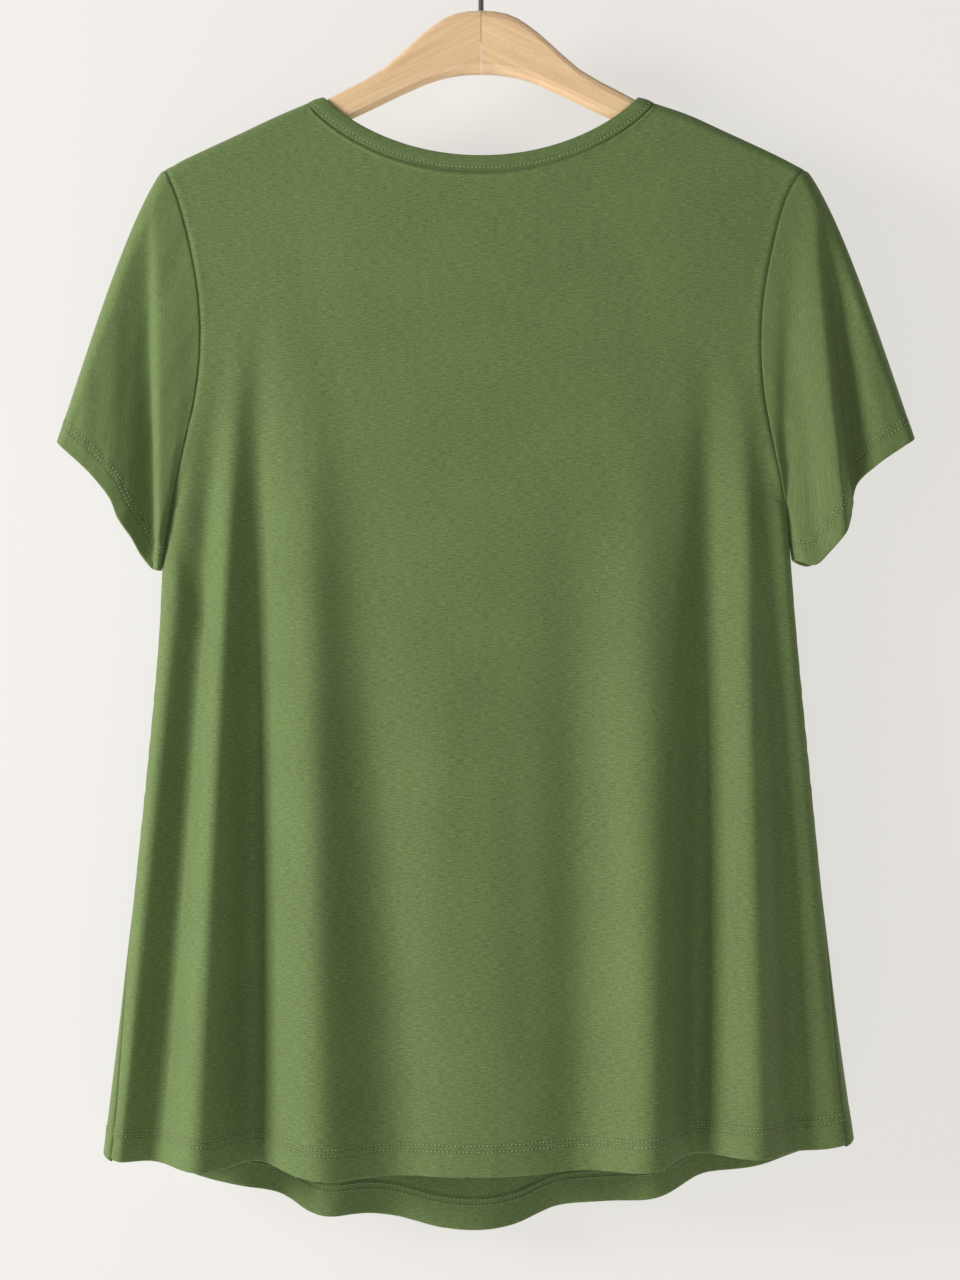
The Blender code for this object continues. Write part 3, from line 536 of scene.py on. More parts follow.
def seam_angle(panel, drop):
    """How far round the side a panel reaches: the front goes past the middle plane."""
    radius = edge_turn(drop)[1]
    moved = smooth((drop - SEAM_SHIFT_FROM) / (TOTAL_DROP - SEAM_SHIFT_FROM))
    shift = SEAM_SHIFT * moved / radius
    return math.pi / 2 + (shift if panel == "front" else -shift)


def hem_height(panel, x):
    """Height of the hem edge at a distance from the middle."""
    middle, left, right = HEM_Z[panel]
    name = "left" if x < 0 else "right"
    share = min(abs(x) / float(HALF_WIDTH[name](TOTAL_DROP)), 1.0)
    curve = middle + ((left if x < 0 else right) - middle) * share ** HEM_CURVE
    return curve + float(HEM_RISE[panel](x))


def section(panel, sign, column_at, drop):
    """Distance out and depth of one column at all its drops, before the folds."""
    kind, share, low_share = column_at
    half = HALF_WIDTH[side_name(sign)](drop)
    turn = turn_share(drop)
    edge, radius = edge_turn(drop)
    flat_depth = PANEL_DEPTH[panel](drop)
    side_depth = np.minimum(flat_depth, SIDE_DEPTH)
    if kind == "flat":
        inner = half - ((1 - turn) * edge + turn * radius)
        top_inner = float(HALF_WIDTH[side_name(sign)](0.0)) - EDGE_LENGTH_TOP
        corner = NECK_HALF / top_inner
        moved = smooth((share - corner) / (1 - corner)) * (inner - top_inner)
        even = smooth((drop - COLUMNS_EVEN_FROM) / COLUMNS_EVEN_OVER)
        out = (1 - even) * (share * top_inner + moved) + even * low_share * inner
        depth_here = (1 - turn) * side_depth + turn * radius
        return out, flat_depth + (depth_here - flat_depth) * (out / inner) ** SIDE_FLATTENING
    angle = share * seam_angle(panel, drop)
    x = (1 - turn) * (half - edge * (1 - share)) + turn * (half - radius + radius * np.sin(angle))
    return x, (1 - turn) * side_depth + turn * radius * np.cos(angle)


def panel_rows():
    """Drops of a panel's rows, fine at the shoulder, underarm and hem; where the armhole ends."""
    armhole = ARMHOLE_DROP(np.linspace(0.0, ARMHOLE_ROWS - 1, ARMHOLE_FINE_ROWS))
    growing = UNDERARM_DROP + np.cumsum(GROWING_STEPS_MM) * MM
    fine_start = TOTAL_DROP - HEM_FINE
    body = np.linspace(growing[-1], fine_start, BODY_ROWS)[1:-1]
    hem = np.linspace(fine_start, TOTAL_DROP, HEM_ROWS)
    return np.concatenate([armhole, growing, body, hem]), len(armhole) - 1


def panel_columns(panel, sign):
    """Columns of one half, from the middle out: kind, share at the top, share low down."""
    corner = NECK_HALF / (float(HALF_WIDTH[side_name(sign)](0.0)) - EDGE_LENGTH_TOP)
    shares = [share * corner for share in neck_shares(panel, *PANEL_NECK_STEPS)]
    shares += [corner + (1 - corner) * step / SHOULDER_COLUMNS
               for step in range(1, SHOULDER_COLUMNS + 1)]
    last = len(shares) - 1
    columns = [("flat", share, place / last) for place, share in enumerate(shares)]
    columns += [("edge", 1 - gone * MM / EDGE_LENGTH_TOP, 1.0) for gone in FROM_SIDE_MM]
    return columns


def panel_grid(panel, drops):
    """Smooth points of the back or the front, rows from the top edge to the hem."""
    facing = -1.0 if panel == "back" else 1.0
    sizes = NECK[panel]
    left = [(-1.0, column_at) for column_at in panel_columns(panel, -1)][::-1]
    right = [(1.0, column_at) for column_at in panel_columns(panel, 1)][1:]
    grid = np.zeros((len(drops), len(left) + len(right), 3))
    last = np.array([TOTAL_DROP])
    first = np.array([0.0])
    for place, (sign, column_at) in enumerate(left + right):
        top_out = float(section(panel, sign, column_at, first)[0][0])
        crest = float(ridge_height(sign * top_out))
        start = 0.0
        if top_out < NECK_HALF:
            top_z = neck_height(top_out / NECK_HALF, NECK_POINT_Z, sizes["drop"],
                                sizes["powers"])
            start = max(float(ridge_length(crest - top_z)) - FLANGE, 0.0)
        hem_x = sign * float(section(panel, sign, column_at, last)[0][0])
        end = float(ridge_length(crest - hem_height(panel, hem_x)))
        below = drops + (TOTAL_DROP - drops) * start / end
        out, depth = section(panel, sign, column_at, below)
        out = out * (top_out / max(float(out[0]), 1e-9))
        kept = smooth((drops - (TOTAL_DROP - KEPT_BLEND)) / (KEPT_BLEND - KEPT_DROP))
        length = (1 - kept) * (start + (end - start) * drops / TOTAL_DROP)
        length += kept * (end - (TOTAL_DROP - drops))
        fallen, shared = ridge_profile(length)
        calm = 1.0 if column_at[0] == "flat" else float(1.0 - smooth(column_at[1]))
        depth = depth + fold_height(panel, sign * out, below) * calm
        level = smooth(fallen / CREST_BLEND)
        level = level * crest + (1 - level) * ridge_height(sign * out)
        grid[:, place] = np.stack([sign * out, facing * depth * shared, level - fallen], axis=1)
    return grid


def grid_normals(grid, closed=False):
    """Unit normals of a grid of points, across the columns and down the rows."""
    across = np.gradient(grid, axis=1, edge_order=2)
    if closed:
        across = (np.roll(grid, -1, axis=1) - np.roll(grid, 1, axis=1)) / 2
    normals = np.cross(across, np.gradient(grid, axis=0, edge_order=2))
    return normals / np.maximum(np.linalg.norm(normals, axis=2, keepdims=True), 1e-12)


def distances(grid, axis):
    """Length of cloth from the first row or column to each point."""
    steps = np.linalg.norm(np.diff(grid, axis=axis), axis=2)
    total = np.cumsum(steps, axis=axis)
    zeros = np.zeros_like(np.take(total, [0], axis=axis))
    return np.concatenate([zeros, total], axis=axis)


def hem_relief(distance, along, rows, turn_up, seed, strength):
    """Height of a turned-up hem: stitch lines pressed in, small puckers beside them."""
    middle = sum(rows) / 2
    value = HEM_RAISED * smooth((turn_up - distance) / HEM_RAISED_OVER)
    for number, row in enumerate(rows):
        value -= STITCH_DENT * bump(distance - row, STITCH_DENT_WIDTH)
        waves = strength * pucker(along, seed + number)
        value += waves * bump(distance - row, STITCH_PUCKER_WIDTH)
    value += 0.8 * strength * pucker(along * 0.8, seed + 5) * bump(distance - middle, 8 * MM)
    edge = smooth(1 - distance / middle)
    return value + 1.1 * strength * pucker(along * 0.62, seed + 9) * edge


def sewn_groove_shade(groove_shade, distance, rows):
    """The share of painted shade at each point along the seam grooves, with the rows of stitches
    added.
    """
    for row in rows:
        groove_shade = np.maximum(groove_shade, STITCH_SHADE * bump(distance - row, STITCH_SHADE_WIDTH))
    return groove_shade


def panel_surface(panel):
    """Outer points, normals and cloth lengths of the back or the front, with its relief."""
    drops, armhole = panel_rows()
    grid = panel_grid(panel, drops)
    facing = -1.0 if panel == "back" else 1.0
    normals = grid_normals(grid) * facing
    normals[0, :, 1] *= 0.2
    normals /= np.linalg.norm(normals, axis=2, keepdims=True)
    across = distances(grid, 1)
    down = distances(grid, 0)
    to_sides = np.minimum(across, across[:, -1:] - across)
    to_hem = down[-1:] - down
    x, z = grid[..., 0], grid[..., 2]
    relief = crease_height(CREASES[panel], x, z)
    in_neck = smooth((NECK_HALF - np.abs(grid[:1, :, 0])) / NECK_DENT_BLEND)
    # the seam's groove: it dents the cloth below, and it is also painted as shade in the base
    # colour
    groove_shade = bump(to_sides, SEAM_WIDTH)
    seam_top = bump(down - FLANGE * in_neck, SEAM_WIDTH)
    along_side = drops[:, None] * np.ones_like(x)
    side_waves = SIDE_PUCKER * pucker(along_side, 3.0 + facing)
    side_waves = side_waves * bump(to_sides - SIDE_PUCKER_PLACE, SIDE_PUCKER_WIDTH)
    relief = relief - SEAM_DENT * groove_shade + side_waves
    relief += SIDE_RIDGE * bump(to_sides - SIDE_RIDGE_PLACE, SIDE_RIDGE_WIDTH)
    relief -= NECK_DENT * seam_top * in_neck
    below = down - FLANGE
    relief += NECK_RIDGE * bump(below - NECK_RIDGE_PLACE, NECK_RIDGE_WIDTH) * in_neck
    neck_waves = NECK_PUCKER * pucker(x, 8.0)
    relief += neck_waves * bump(below - NECK_PUCKER_PLACE, NECK_PUCKER_WIDTH) * in_neck
    relief -= SHOULDER_DENT * seam_top * (1 - in_neck)
    relief += hem_relief(to_hem, x, HEM_STITCHES, TURN_UP, 1.0 + facing, HEM_PUCKER)
    # painted shade: darker colour in the seam grooves at the top and sides, and along the hem's
    # stitch rows
    groove_shade = np.maximum(groove_shade, seam_top)
    groove_shade = sewn_groove_shade(groove_shade, to_hem, HEM_STITCHES)
    outer = grid + normals * relief[..., None]
    level = np.cumsum(np.hypot(np.diff(x, axis=1), np.diff(grid[..., 1], axis=1)), axis=1)
    level = np.pad(level, ((0, 0), (1, 0)))
    level -= level[:, level.shape[1] // 2][:, None]
    upright = np.cumsum(np.hypot(np.diff(z, axis=0), np.diff(grid[..., 1], axis=0)), axis=0)
    upright = np.pad(upright, ((1, 0), (0, 0))) - z[:1]
    return {"points": outer, "normals": normals, "across": level, "down": upright,
            "to_hem": to_hem, "groove_shade": groove_shade, "armhole": armhole}


def cuff_line(name, steps):
    """Points on the cuff edge and their share of the full depth, for steps down the armhole."""
    out = column(CUFF[name], CUFF_COLUMNS_NAMED, "out")
    z = column(CUFF[name], CUFF_COLUMNS_NAMED, "z")
    lengths = np.concatenate([[0.0], np.cumsum(np.hypot(np.diff(out), np.diff(z)))])
    total = lengths[-1]
    radius = CUFF_ROUNDING
    turns = [radius * (1 - math.cos(math.radians(a))) for a in CUFF_TURN_DEGREES]
    middle = list(np.linspace(radius, total - radius, ARMHOLE_ROWS - 7)[1:-1])
    marks = turns + middle + [total - turns[4], total - turns[3], total - turns[1], total]
    gone = curve_through(np.arange(ARMHOLE_ROWS, dtype=float), np.array(marks))(steps)
    share = np.sqrt(np.clip(1 - (1 - np.minimum(gone / radius, 1.0)) ** 2, 0, 1))
    ending = np.clip((total - gone) / radius, 0.0, 1.0)
    share = share * np.sqrt(np.clip(1 - (1 - ending) ** 2, 0, 1))
    return (curve_through(lengths, out)(gone), curve_through(lengths, z)(gone), share)


def sleeve_folds(name, out, z):
    """Sum of a sleeve's large folds at a place, in metres outward."""
    value = np.zeros_like(out)
    for row in named_rows(SLEEVE_FOLDS[name], SLEEVE_FOLD_COLUMNS_NAMED):
        down = (z - row["z_top"]) / (row["z_low"] - row["z_top"])
        middle = row["out_top"] + (row["out_low"] - row["out_top"]) * down
        width = np.where(out < middle, row["inner_width"], row["outer_width"])
        grown = smooth(SLEEVE_FOLD_START + SLEEVE_FOLD_GROWTH * down)
        value += row["height"] * grown * bump(out - middle, width)
    return value


def sleeve_surface(name, back, front):
    """Outer points, normals and cloth lengths of one sleeve, rings from armhole to cuff."""
    sign = -1.0 if name == "left" else 1.0
    place = 0 if sign < 0 else -1
    count = back["armhole"] + 1
    near = back["points"][:count, place].copy()
    far = front["points"][:count, place].copy()
    for end in (0, -1):
        near[end] = far[end] = (near[end] + far[end]) / 2
    steps = np.linspace(0.0, ARMHOLE_ROWS - 1, count)
    start = np.concatenate([near, far[-2:0:-1]])
    steps = np.concatenate([steps, steps[-2:0:-1]])
    facing = np.concatenate([-np.ones(count), np.ones(count - 2)])
    cuff_out, cuff_z, cuff_share = cuff_line(name, steps)
    across = steps / (ARMHOLE_ROWS - 1)
    length = np.hypot(cuff_out - np.abs(start[:, 0]), cuff_z - start[:, 2])
    from_seam = np.array(FROM_SEAM_MM) * MM
    from_cuff = np.array(FROM_CUFF_MM) * MM
    seam_scale = np.minimum(1.0, length / SEAM_RINGS_LENGTH)
    cuff_scale = np.minimum(1.0, CUFF_RINGS_SHARE * length / from_cuff[0])
    rings = [gone * seam_scale for gone in from_seam]
    first, last = from_seam[-1] * seam_scale, length - from_cuff[0] * cuff_scale
    rings += [first + (last - first) * part for part in np.linspace(0.0, 1.0, SLEEVE_RINGS)[1:-1]]
    rings += [length - left * cuff_scale for left in from_cuff]
    gone = np.array(rings)
    along = gone / length
    to_cuff = length - gone
    bow = SLEEVE_BULGE * np.sin(math.pi * np.clip(along, 0, 1) ** BULGE_PLACE)
    bow = bow * (1 - across) ** 2
    out = (1 - along) * np.abs(start[:, 0]) + along * cuff_out + bow * BULGE_OUT
    z = (1 - along) * start[:, 2] + along * cuff_z + bow * BULGE_UP
    depth = (1 - along) * np.abs(start[:, 1]) + along * CUFF_HALF_DEPTH * cuff_share
    lift = sleeve_folds(name, out, z) * smooth(along / SLEEVE_FOLD_REACH) * cuff_share
    depth = depth + np.where(facing < 0, lift, lift * FAR_FOLD_SHARE)
    grid = np.stack([sign * out, facing * depth, z], axis=2)
    normals = grid_normals(grid, closed=True)
    if np.sum(normals[..., 1] * facing) < 0:
        normals = -normals
    rounding = smooth(np.abs(depth) / CALM_DEPTH)
    creases = crease_height(SLEEVE_CREASES[name], out, z)
    relief = creases * smooth(along / SLEEVE_CREASE_REACH) * rounding
    relief += SEAM_DENT * (1 - bump(gone, SEAM_WIDTH)) * seam_scale
    round_way = distances(grid, 1)[-1][None, :] * np.ones_like(gone)
    waves = SLEEVE_PUCKER * pucker(z, 4.0 + sign)
    relief += waves * bump(gone - SLEEVE_PUCKER_PLACE, SLEEVE_PUCKER_WIDTH) * seam_scale
    relief += hem_relief(to_cuff, round_way, CUFF_STITCHES, CUFF_TURN_UP, 2.0 + sign,
                         CUFF_PUCKER) * smooth(length / CUFF_RELIEF_LENGTH)
    # painted shade in the armhole seam's groove and along the cuff's stitch rows
    groove_shade = sewn_groove_shade(bump(gone, SEAM_WIDTH), to_cuff, CUFF_STITCHES)
    return {"points": grid + normals * relief[..., None], "normals": normals,
            "across": distances(grid, 1), "down": gone, "to_hem": to_cuff, "groove_shade": groove_shade}


def crest_normals(points):
    """Normals of the cloth where it turns over the shoulder line."""
    x, y, z = points[..., 0], points[..., 1], points[..., 2]
    step = 0.5 * MM
    slope = (ridge_height(x + step) - ridge_height(x - step)) / (2 * step)
    angle = np.minimum(ridge_length(ridge_height(x) - z) / RIDGE_RADIUS, math.pi / 2)
    normals = np.stack([-slope * np.cos(angle), np.copysign(np.sin(angle), y),
                        np.cos(angle)], axis=-1)
    return normals / np.linalg.norm(normals, axis=-1, keepdims=True)


def band_surface():
    """Outer points, normals and cloth lengths of the binding, rows from its seam to its edge."""
    parts = np.array(BAND_PARTS)
    stations = []
    for facing, panel in ((-1.0, "back"), (1.0, "front")):
        sizes = NECK[panel]
        half = neck_shares(panel, *BAND_NECK_STEPS)
        shares = np.concatenate([-half[::-1], half[1:]])
        if facing > 0:
            shares = shares[::-1][1:-1]
        for share in shares:
            low_z = neck_height(share, NECK_POINT_Z, sizes["drop"], sizes["powers"])
            free_z = neck_height(share, NECK_POINT_Z + BAND_RISE, sizes["band_drop"],
                                 sizes["powers"])
            x = share * (NECK_HALF + (BAND_HALF - NECK_HALF) * parts)
            z = low_z + (free_z - low_z) * parts
            shared = ridge_profile(ridge_length(ridge_height(x) - z))[1]
            stations.append(np.stack([x, facing * RIDGE_RADIUS * shared,
                                      np.minimum(z, ridge_height(x))], axis=1))
    grid = np.array(stations).transpose(1, 0, 2)
    normals = crest_normals(grid)
    along = distances(grid, 1)[:1] * np.ones((len(parts), 1))
    swell = np.sin(math.pi * np.clip(parts, 0, 1) ** BAND_SWELL_PLACE)[:, None]
    down = parts[:, None] * BAND_WIDTH_MM * MM
    from_stitch = (parts[:, None] - BAND_STITCH_SHARE) * BAND_WIDTH_MM * MM
    relief = BAND_RAISED + BAND_SWELL * swell
    relief = relief - BAND_STITCH_DENT * bump(from_stitch, BAND_STITCH_WIDTH)
    relief = relief + BAND_PUCKER * pucker(along, 6.0) * swell
    relief[0] = -BAND_TUCK
    # painted shade along the binding's seam and along its topstitch
    groove_shade = np.ones_like(along) * bump(down, BAND_SHADE_WIDTH)
    groove_shade = np.maximum(groove_shade, BAND_STITCH_SHADE * bump(from_stitch, BAND_SHADE_WIDTH))
    return {"points": grid + normals * relief[..., None], "normals": normals, "across": along,
            "down": down * np.ones_like(along), "groove_shade": groove_shade}


def rim_points(outer, inner, heading, count):
    """Rows of a half round edge from the last outer row to the last inner row."""
    middle = (outer + inner) / 2
    radius = (outer - inner) / 2
    size = np.linalg.norm(radius, axis=1, keepdims=True)
    rows = []
    for step in range(1, count + 1):
        angle = math.pi * step / (count + 1)
        rows.append(middle + radius * math.cos(angle) + heading * size * math.sin(angle))
    return np.array(rows)


def both_sides(values):
    """Rows of the outer side, the last one again along the rim, then the inner side's rows."""
    return np.concatenate([values, np.repeat(values[-1:], RIM_ROWS, axis=0), values[::-1]])


def shell(surface, thickness, closed):
    """Closed mesh of cloth behind a surface: points, faces, painted groove shade and cloth
    lengths.
    """
    outer = surface["points"]
    inner = outer - surface["normals"] * thickness
    heading = outer[-1] - outer[-2]
    heading = heading / np.maximum(np.linalg.norm(heading, axis=1, keepdims=True), 1e-9)
    rim = rim_points(outer[-1], inner[-1], heading, RIM_ROWS)
    rows = np.concatenate([outer, rim, inner[::-1]])
    lengths = both_sides(surface["down"] * np.ones(outer.shape[:2]))
    across = both_sides(surface["across"])
    groove_shade = both_sides(surface["groove_shade"])
    count, columns = rows.shape[:2]
    index = np.arange(count * columns).reshape(count, columns)
    following = np.roll(index, -1, axis=0)
    if closed:
        faces = np.stack([index, np.roll(index, -1, axis=1), np.roll(following, -1, axis=1),
                          following], axis=2).reshape(-1, 4)
    else:
        faces = np.stack([index[:, :-1], index[:, 1:], following[:, 1:], following[:, :-1]],
                         axis=2).reshape(-1, 4)
        half = count // 2
        first, opposite = index[:half], index[::-1][:half]
        left = np.stack([first[:-1, 0], first[1:, 0], opposite[1:, 0], opposite[:-1, 0]], axis=1)
        right = np.stack([first[:-1, -1], opposite[:-1, -1], opposite[1:, -1], first[1:, -1]],
                         axis=1)
        faces = np.concatenate([faces, left, right])
    return {"points": rows.reshape(-1, 3), "faces": faces, "groove_shade": groove_shade.reshape(-1),
            "cloth": np.stack([across, lengths], axis=2).reshape(-1, 2)}


def volume(points, faces):
    """Signed volume of a closed mesh of quads."""
    a, b, c, d = (points[faces[:, corner]] for corner in range(4))
    return float(np.sum(a * np.cross(b, c)) + np.sum(a * np.cross(c, d))) / 6


def linked(name, data):
    """A new object in the scene's collection."""
    made = bpy.data.objects.new(name, data)
    bpy.context.scene.collection.objects.link(made)
    return made


def shell_object(name, made, finish):
    """A smooth mesh object with the cloth's own lengths as its UV map."""
    points, faces = made["points"], made["faces"]
    if volume(points, faces) < 0:
        faces = faces[:, ::-1]
    mesh = bpy.data.meshes.new(name)
    mesh.vertices.add(len(points))
    mesh.vertices.foreach_set("co", points.ravel())
    mesh.loops.add(faces.size)
    mesh.loops.foreach_set("vertex_index", faces.ravel())
    mesh.polygons.add(len(faces))
    mesh.polygons.foreach_set("loop_start", np.arange(len(faces)) * 4)
    mesh.update(calc_edges=True)
    if mesh.validate():
        raise RuntimeError(name + " has faces that aren't sound")
    cloth = mesh.uv_layers.new(name="cloth")
    cloth.data.foreach_set("uv", made["cloth"][faces.ravel()].ravel())
    # share of painted shade in the seam and stitch grooves, by which the jersey finish darkens its
    # colour
    groove_shade = mesh.attributes.new("groove_shade", "FLOAT", "POINT")
    groove_shade.data.foreach_set("value", made["groove_shade"])
    mesh.shade_smooth()
    mesh.materials.append(finish)
    return linked(name, mesh)


class Value:
    """A number from a socket, so that shader maths reads as Python."""

    def __init__(self, finish, socket):
        self.finish = finish
        self.socket = socket

    def _maths(self, operation, *numbers):
        links = {place: number for place, number in enumerate(numbers)}
        made = self.finish.node("ShaderNodeMath", {"operation": operation}, links)
        return Value(self.finish, made.outputs[0])

    def __add__(self, other):
        return self._maths("ADD", self, other)

    def __sub__(self, other):
        return self._maths("SUBTRACT", self, other)

    def __mul__(self, other):
        return self._maths("MULTIPLY", self, other)

    def __abs__(self):
        return self._maths("ABSOLUTE", self)

    def sine(self):
        return self._maths("SINE", self)

    def within(self, low, high):
        return self._maths("MAXIMUM", self._maths("MINIMUM", self, high), low)


def feed(tree, socket, content):
    """Link a socket or a value to an input, or set a plain number."""
    if isinstance(content, Value):
        content = content.socket
    if isinstance(content, bpy.types.NodeSocket):
        tree.links.new(content, socket)
    else:
        socket.default_value = content


def add_node(tree, kind, settings=None, inputs=None):
    """A new node in a tree, with its settings and inputs."""
    made = tree.nodes.new(kind)
    for name, setting in (settings or {}).items():
        setattr(made, name, setting)
    for place, content in (inputs or {}).items():
        feed(tree, made.inputs[place], content)
    return made


class Finish:
    """A material and short ways to add its nodes."""

    def __init__(self, name):
        self.material = bpy.data.materials.new(name)
        self.material.use_nodes = True
        self.tree = self.material.node_tree
        self.shader = self.tree.nodes["Principled BSDF"]

    def node(self, kind, settings=None, inputs=None):
        return add_node(self.tree, kind, settings, inputs)

    def value(self, made, output=0):
        return Value(self, made.outputs[output])

    def looks(self, **contents):
        """Feed the shader's inputs by name, with _ for each space."""
        for name, content in contents.items():
            feed(self.tree, self.shader.inputs[name.replace("_", " ")], content)

    def mixed(self, share, first, second):
        """A colour between two colours."""
        made = self.node("ShaderNodeMix", {"data_type": "RGBA"},
                         {"Factor": share, 6: first, 7: second})
        return made.outputs[2]

    def noise(self, place, scale, detail=2.0, roughness=0.5, distortion=0.0):
        made = self.node("ShaderNodeTexNoise", {"noise_dimensions": "3D"},
                         {"Vector": place, "Scale": scale, "Detail": detail,
                          "Roughness": roughness, "Distortion": distortion})
        return self.value(made, "Fac")

    def stretched(self, place, x, y, z=1.0):
        made = self.node("ShaderNodeMapping", {"vector_type": "POINT"},
                         {"Vector": place, "Scale": (x, y, z)})
        return made.outputs[0]

    def bumped(self, height, strength, reach):
        made = self.node("ShaderNodeBump", None,
                         {"Height": height, "Strength": strength, "Distance": reach})
        self.looks(Normal=made.outputs[0])


def colour(red, green, blue):
    return (red, green, blue, 1.0)


def shaded(base, share):
    """A colour made darker or lighter by a share."""
    return colour(*(min(part * share, 1.0) for part in base[:3]))


def jersey_finish(name, base, streak_strength):
    """Heathered single jersey: short dyed streaks along the courses, wales, a soft nap, and
    painted shade that darkens the colour in the seam and stitch grooves.
    """
    finish = Finish(name)
    cloth = finish.node("ShaderNodeUVMap", {"uv_map": "cloth"}).outputs[0]
    long_streaks = finish.noise(finish.stretched(cloth, 1 / (5.5 * MM), 1 / (0.62 * MM)), 1.0,
                                2.0, 0.6)
    short_streaks = finish.noise(finish.stretched(cloth, 1 / (2.1 * MM), 1 / (0.5 * MM)), 1.0,
                                 1.0, 0.5)
    flecks = finish.noise(finish.stretched(cloth, 1 / (0.55 * MM), 1 / (0.4 * MM)), 1.0, 1.0)
    clouds = finish.noise(finish.stretched(cloth, 1 / (70 * MM), 1 / (60 * MM)), 1.0, 2.0)
    heather = (long_streaks - 0.5) * 1.25 + (short_streaks - 0.5) * 0.85
    heather = heather + (flecks - 0.5) * 0.35 + (clouds - 0.5) * 0.22
    share = (heather * streak_strength + 0.5).within(0.0, 1.0)
    yarn = finish.mixed(share, shaded(base, 0.52), shaded(base, 1.52))
    # painted shade: the base colour is darkened in the seam and stitch grooves
    groove_shade = finish.value(finish.node("ShaderNodeAttribute", {"attribute_name": "groove_shade"}), "Fac")
    finish.looks(Base_Color=finish.mixed(groove_shade * 0.48, yarn, shaded(base, 0.32)))
    parts = finish.node("ShaderNodeSeparateXYZ", None, {0: cloth})
    wales = (finish.value(parts, 0) * (2 * math.pi / WALE)).sine()
    courses = (finish.value(parts, 1) * (2 * math.pi / COURSE)).sine()
    loops = abs(wales) * 0.55 + wales * courses * 0.3
    height = loops * 0.35 + long_streaks * 0.5 + flecks * 0.45
    finish.bumped(height, 0.32, 0.16 * MM)
    finish.looks(Roughness=(flecks * 0.14 + 0.76).within(0.0, 1.0))
    finish.looks(Specular_IOR_Level=0.28, Sheen_Weight=0.22, Sheen_Roughness=0.5,
                     Sheen_Tint=(0.62, 0.74, 0.48, 1.0))
    return finish.material


def thread_finish(name, base):
    """Soft spun sewing thread."""
    finish = Finish(name)
    place = finish.node("ShaderNodeTexCoord").outputs["Object"]
    fibres = finish.noise(finish.stretched(place, 900, 900, 900), 1.0, 2.0)
    share = ((fibres - 0.5) * 1.6 + 0.5).within(0.0, 1.0)
    finish.looks(Base_Color=finish.mixed(share, shaded(base, 0.75), shaded(base, 1.35)),
                 Roughness=fibres * 0.2 + 0.6)
    finish.looks(Specular_IOR_Level=0.35, Sheen_Weight=0.2)
    return finish.material


def wood_finish(name, base):
    """Pale lacquered beech, its grain running down along each arm from the glue joint."""
    finish = Finish(name)
    place = finish.node("ShaderNodeTexCoord").outputs["Object"]
    parts = finish.node("ShaderNodeSeparateXYZ", None, {0: place})
    x, y, z = (finish.value(parts, number) for number in range(3))
    along = abs(x) * 0.9 - z * 0.43
    across = abs(x) * 0.43 + z * 0.9
    side = (x * 4000).within(-1.0, 1.0)
    run = finish.node("ShaderNodeCombineXYZ", None, {0: along, 1: y + side * 0.4, 2: across})
    run = run.outputs[0]
    rings = finish.noise(finish.stretched(run, 7, 50, 95), 1.0, 3.0, 0.55, 0.4)
    lines = finish.noise(finish.stretched(run, 22, 420, 620), 1.0, 2.0, 0.5)
    pores = finish.noise(finish.stretched(run, 190, 1500, 1900), 1.0, 1.0, 0.5)
    broad = finish.noise(finish.stretched(run, 5, 12, 18), 1.0, 1.0)
    figure = (rings - 0.5) * 1.5 + (lines - 0.5) * 0.8 + (broad - 0.5) * 0.7
    share = (figure + 0.5).within(0.0, 1.0)
    tone = finish.mixed(share, shaded(base, 0.70), shaded(base, 1.12))
    fleck = ((pores - 0.60) * 7).within(0.0, 1.0)
    dark = colour(base[0] * 0.6, base[1] * 0.5, base[2] * 0.42)
    finish.looks(Base_Color=finish.mixed(fleck * 0.35, tone, dark),
                 Roughness=(lines * 0.16 + 0.36).within(0.0, 1.0))
    finish.bumped(lines * 0.6 + pores * 0.4, 0.12, 0.2 * MM)
    finish.looks(Specular_IOR_Level=0.45, Coat_Weight=0.18, Coat_Roughness=0.3)
    return finish.material


def wire_finish(name, base):
    """Polished plated wire with faint drawing marks."""
    finish = Finish(name)
    place = finish.node("ShaderNodeTexCoord").outputs["Object"]
    marks = finish.noise(finish.stretched(place, 2600, 2600, 140), 1.0, 2.0)
    finish.looks(Base_Color=finish.mixed(marks, shaded(base, 0.86), shaded(base, 1.08)),
                 Roughness=marks * 0.14 + 0.1)
    finish.looks(Metallic=1.0)
    return finish.material


def backdrop_finish(name, base):
    """Pale studio cloth with an even glow of its own, which shows from its front only."""
    finish = Finish(name)
    place = finish.node("ShaderNodeTexCoord").outputs["Object"]
    soft = finish.noise(finish.stretched(place, 1.2, 1.2, 1.2), 1.0, 2.0)
    finish.looks(Base_Color=finish.mixed(soft, shaded(base, 0.25), shaded(base, 0.27)),
                 Roughness=soft * 0.05 + 0.9)
    finish.looks(Specular_IOR_Level=0.1, Emission_Strength=0.76,
                     Emission_Color=(*base[:3], 1.0))
    behind = finish.node("ShaderNodeNewGeometry").outputs["Backfacing"]
    clear = finish.node("ShaderNodeBsdfTransparent").outputs[0]
    mix = finish.node("ShaderNodeMixShader", None,
                      {0: behind, 1: finish.shader.outputs[0], 2: clear})
    output = finish.tree.nodes["Material Output"]
    finish.tree.links.new(mix.outputs[0], output.inputs["Surface"])
    return finish.material


def finish_called(name):
    """A finish that an earlier operator made."""
    found = bpy.data.materials.get(name)
    if found is None:
        raise RuntimeError("make the finishes before the pieces: there is no " + name)
    return found


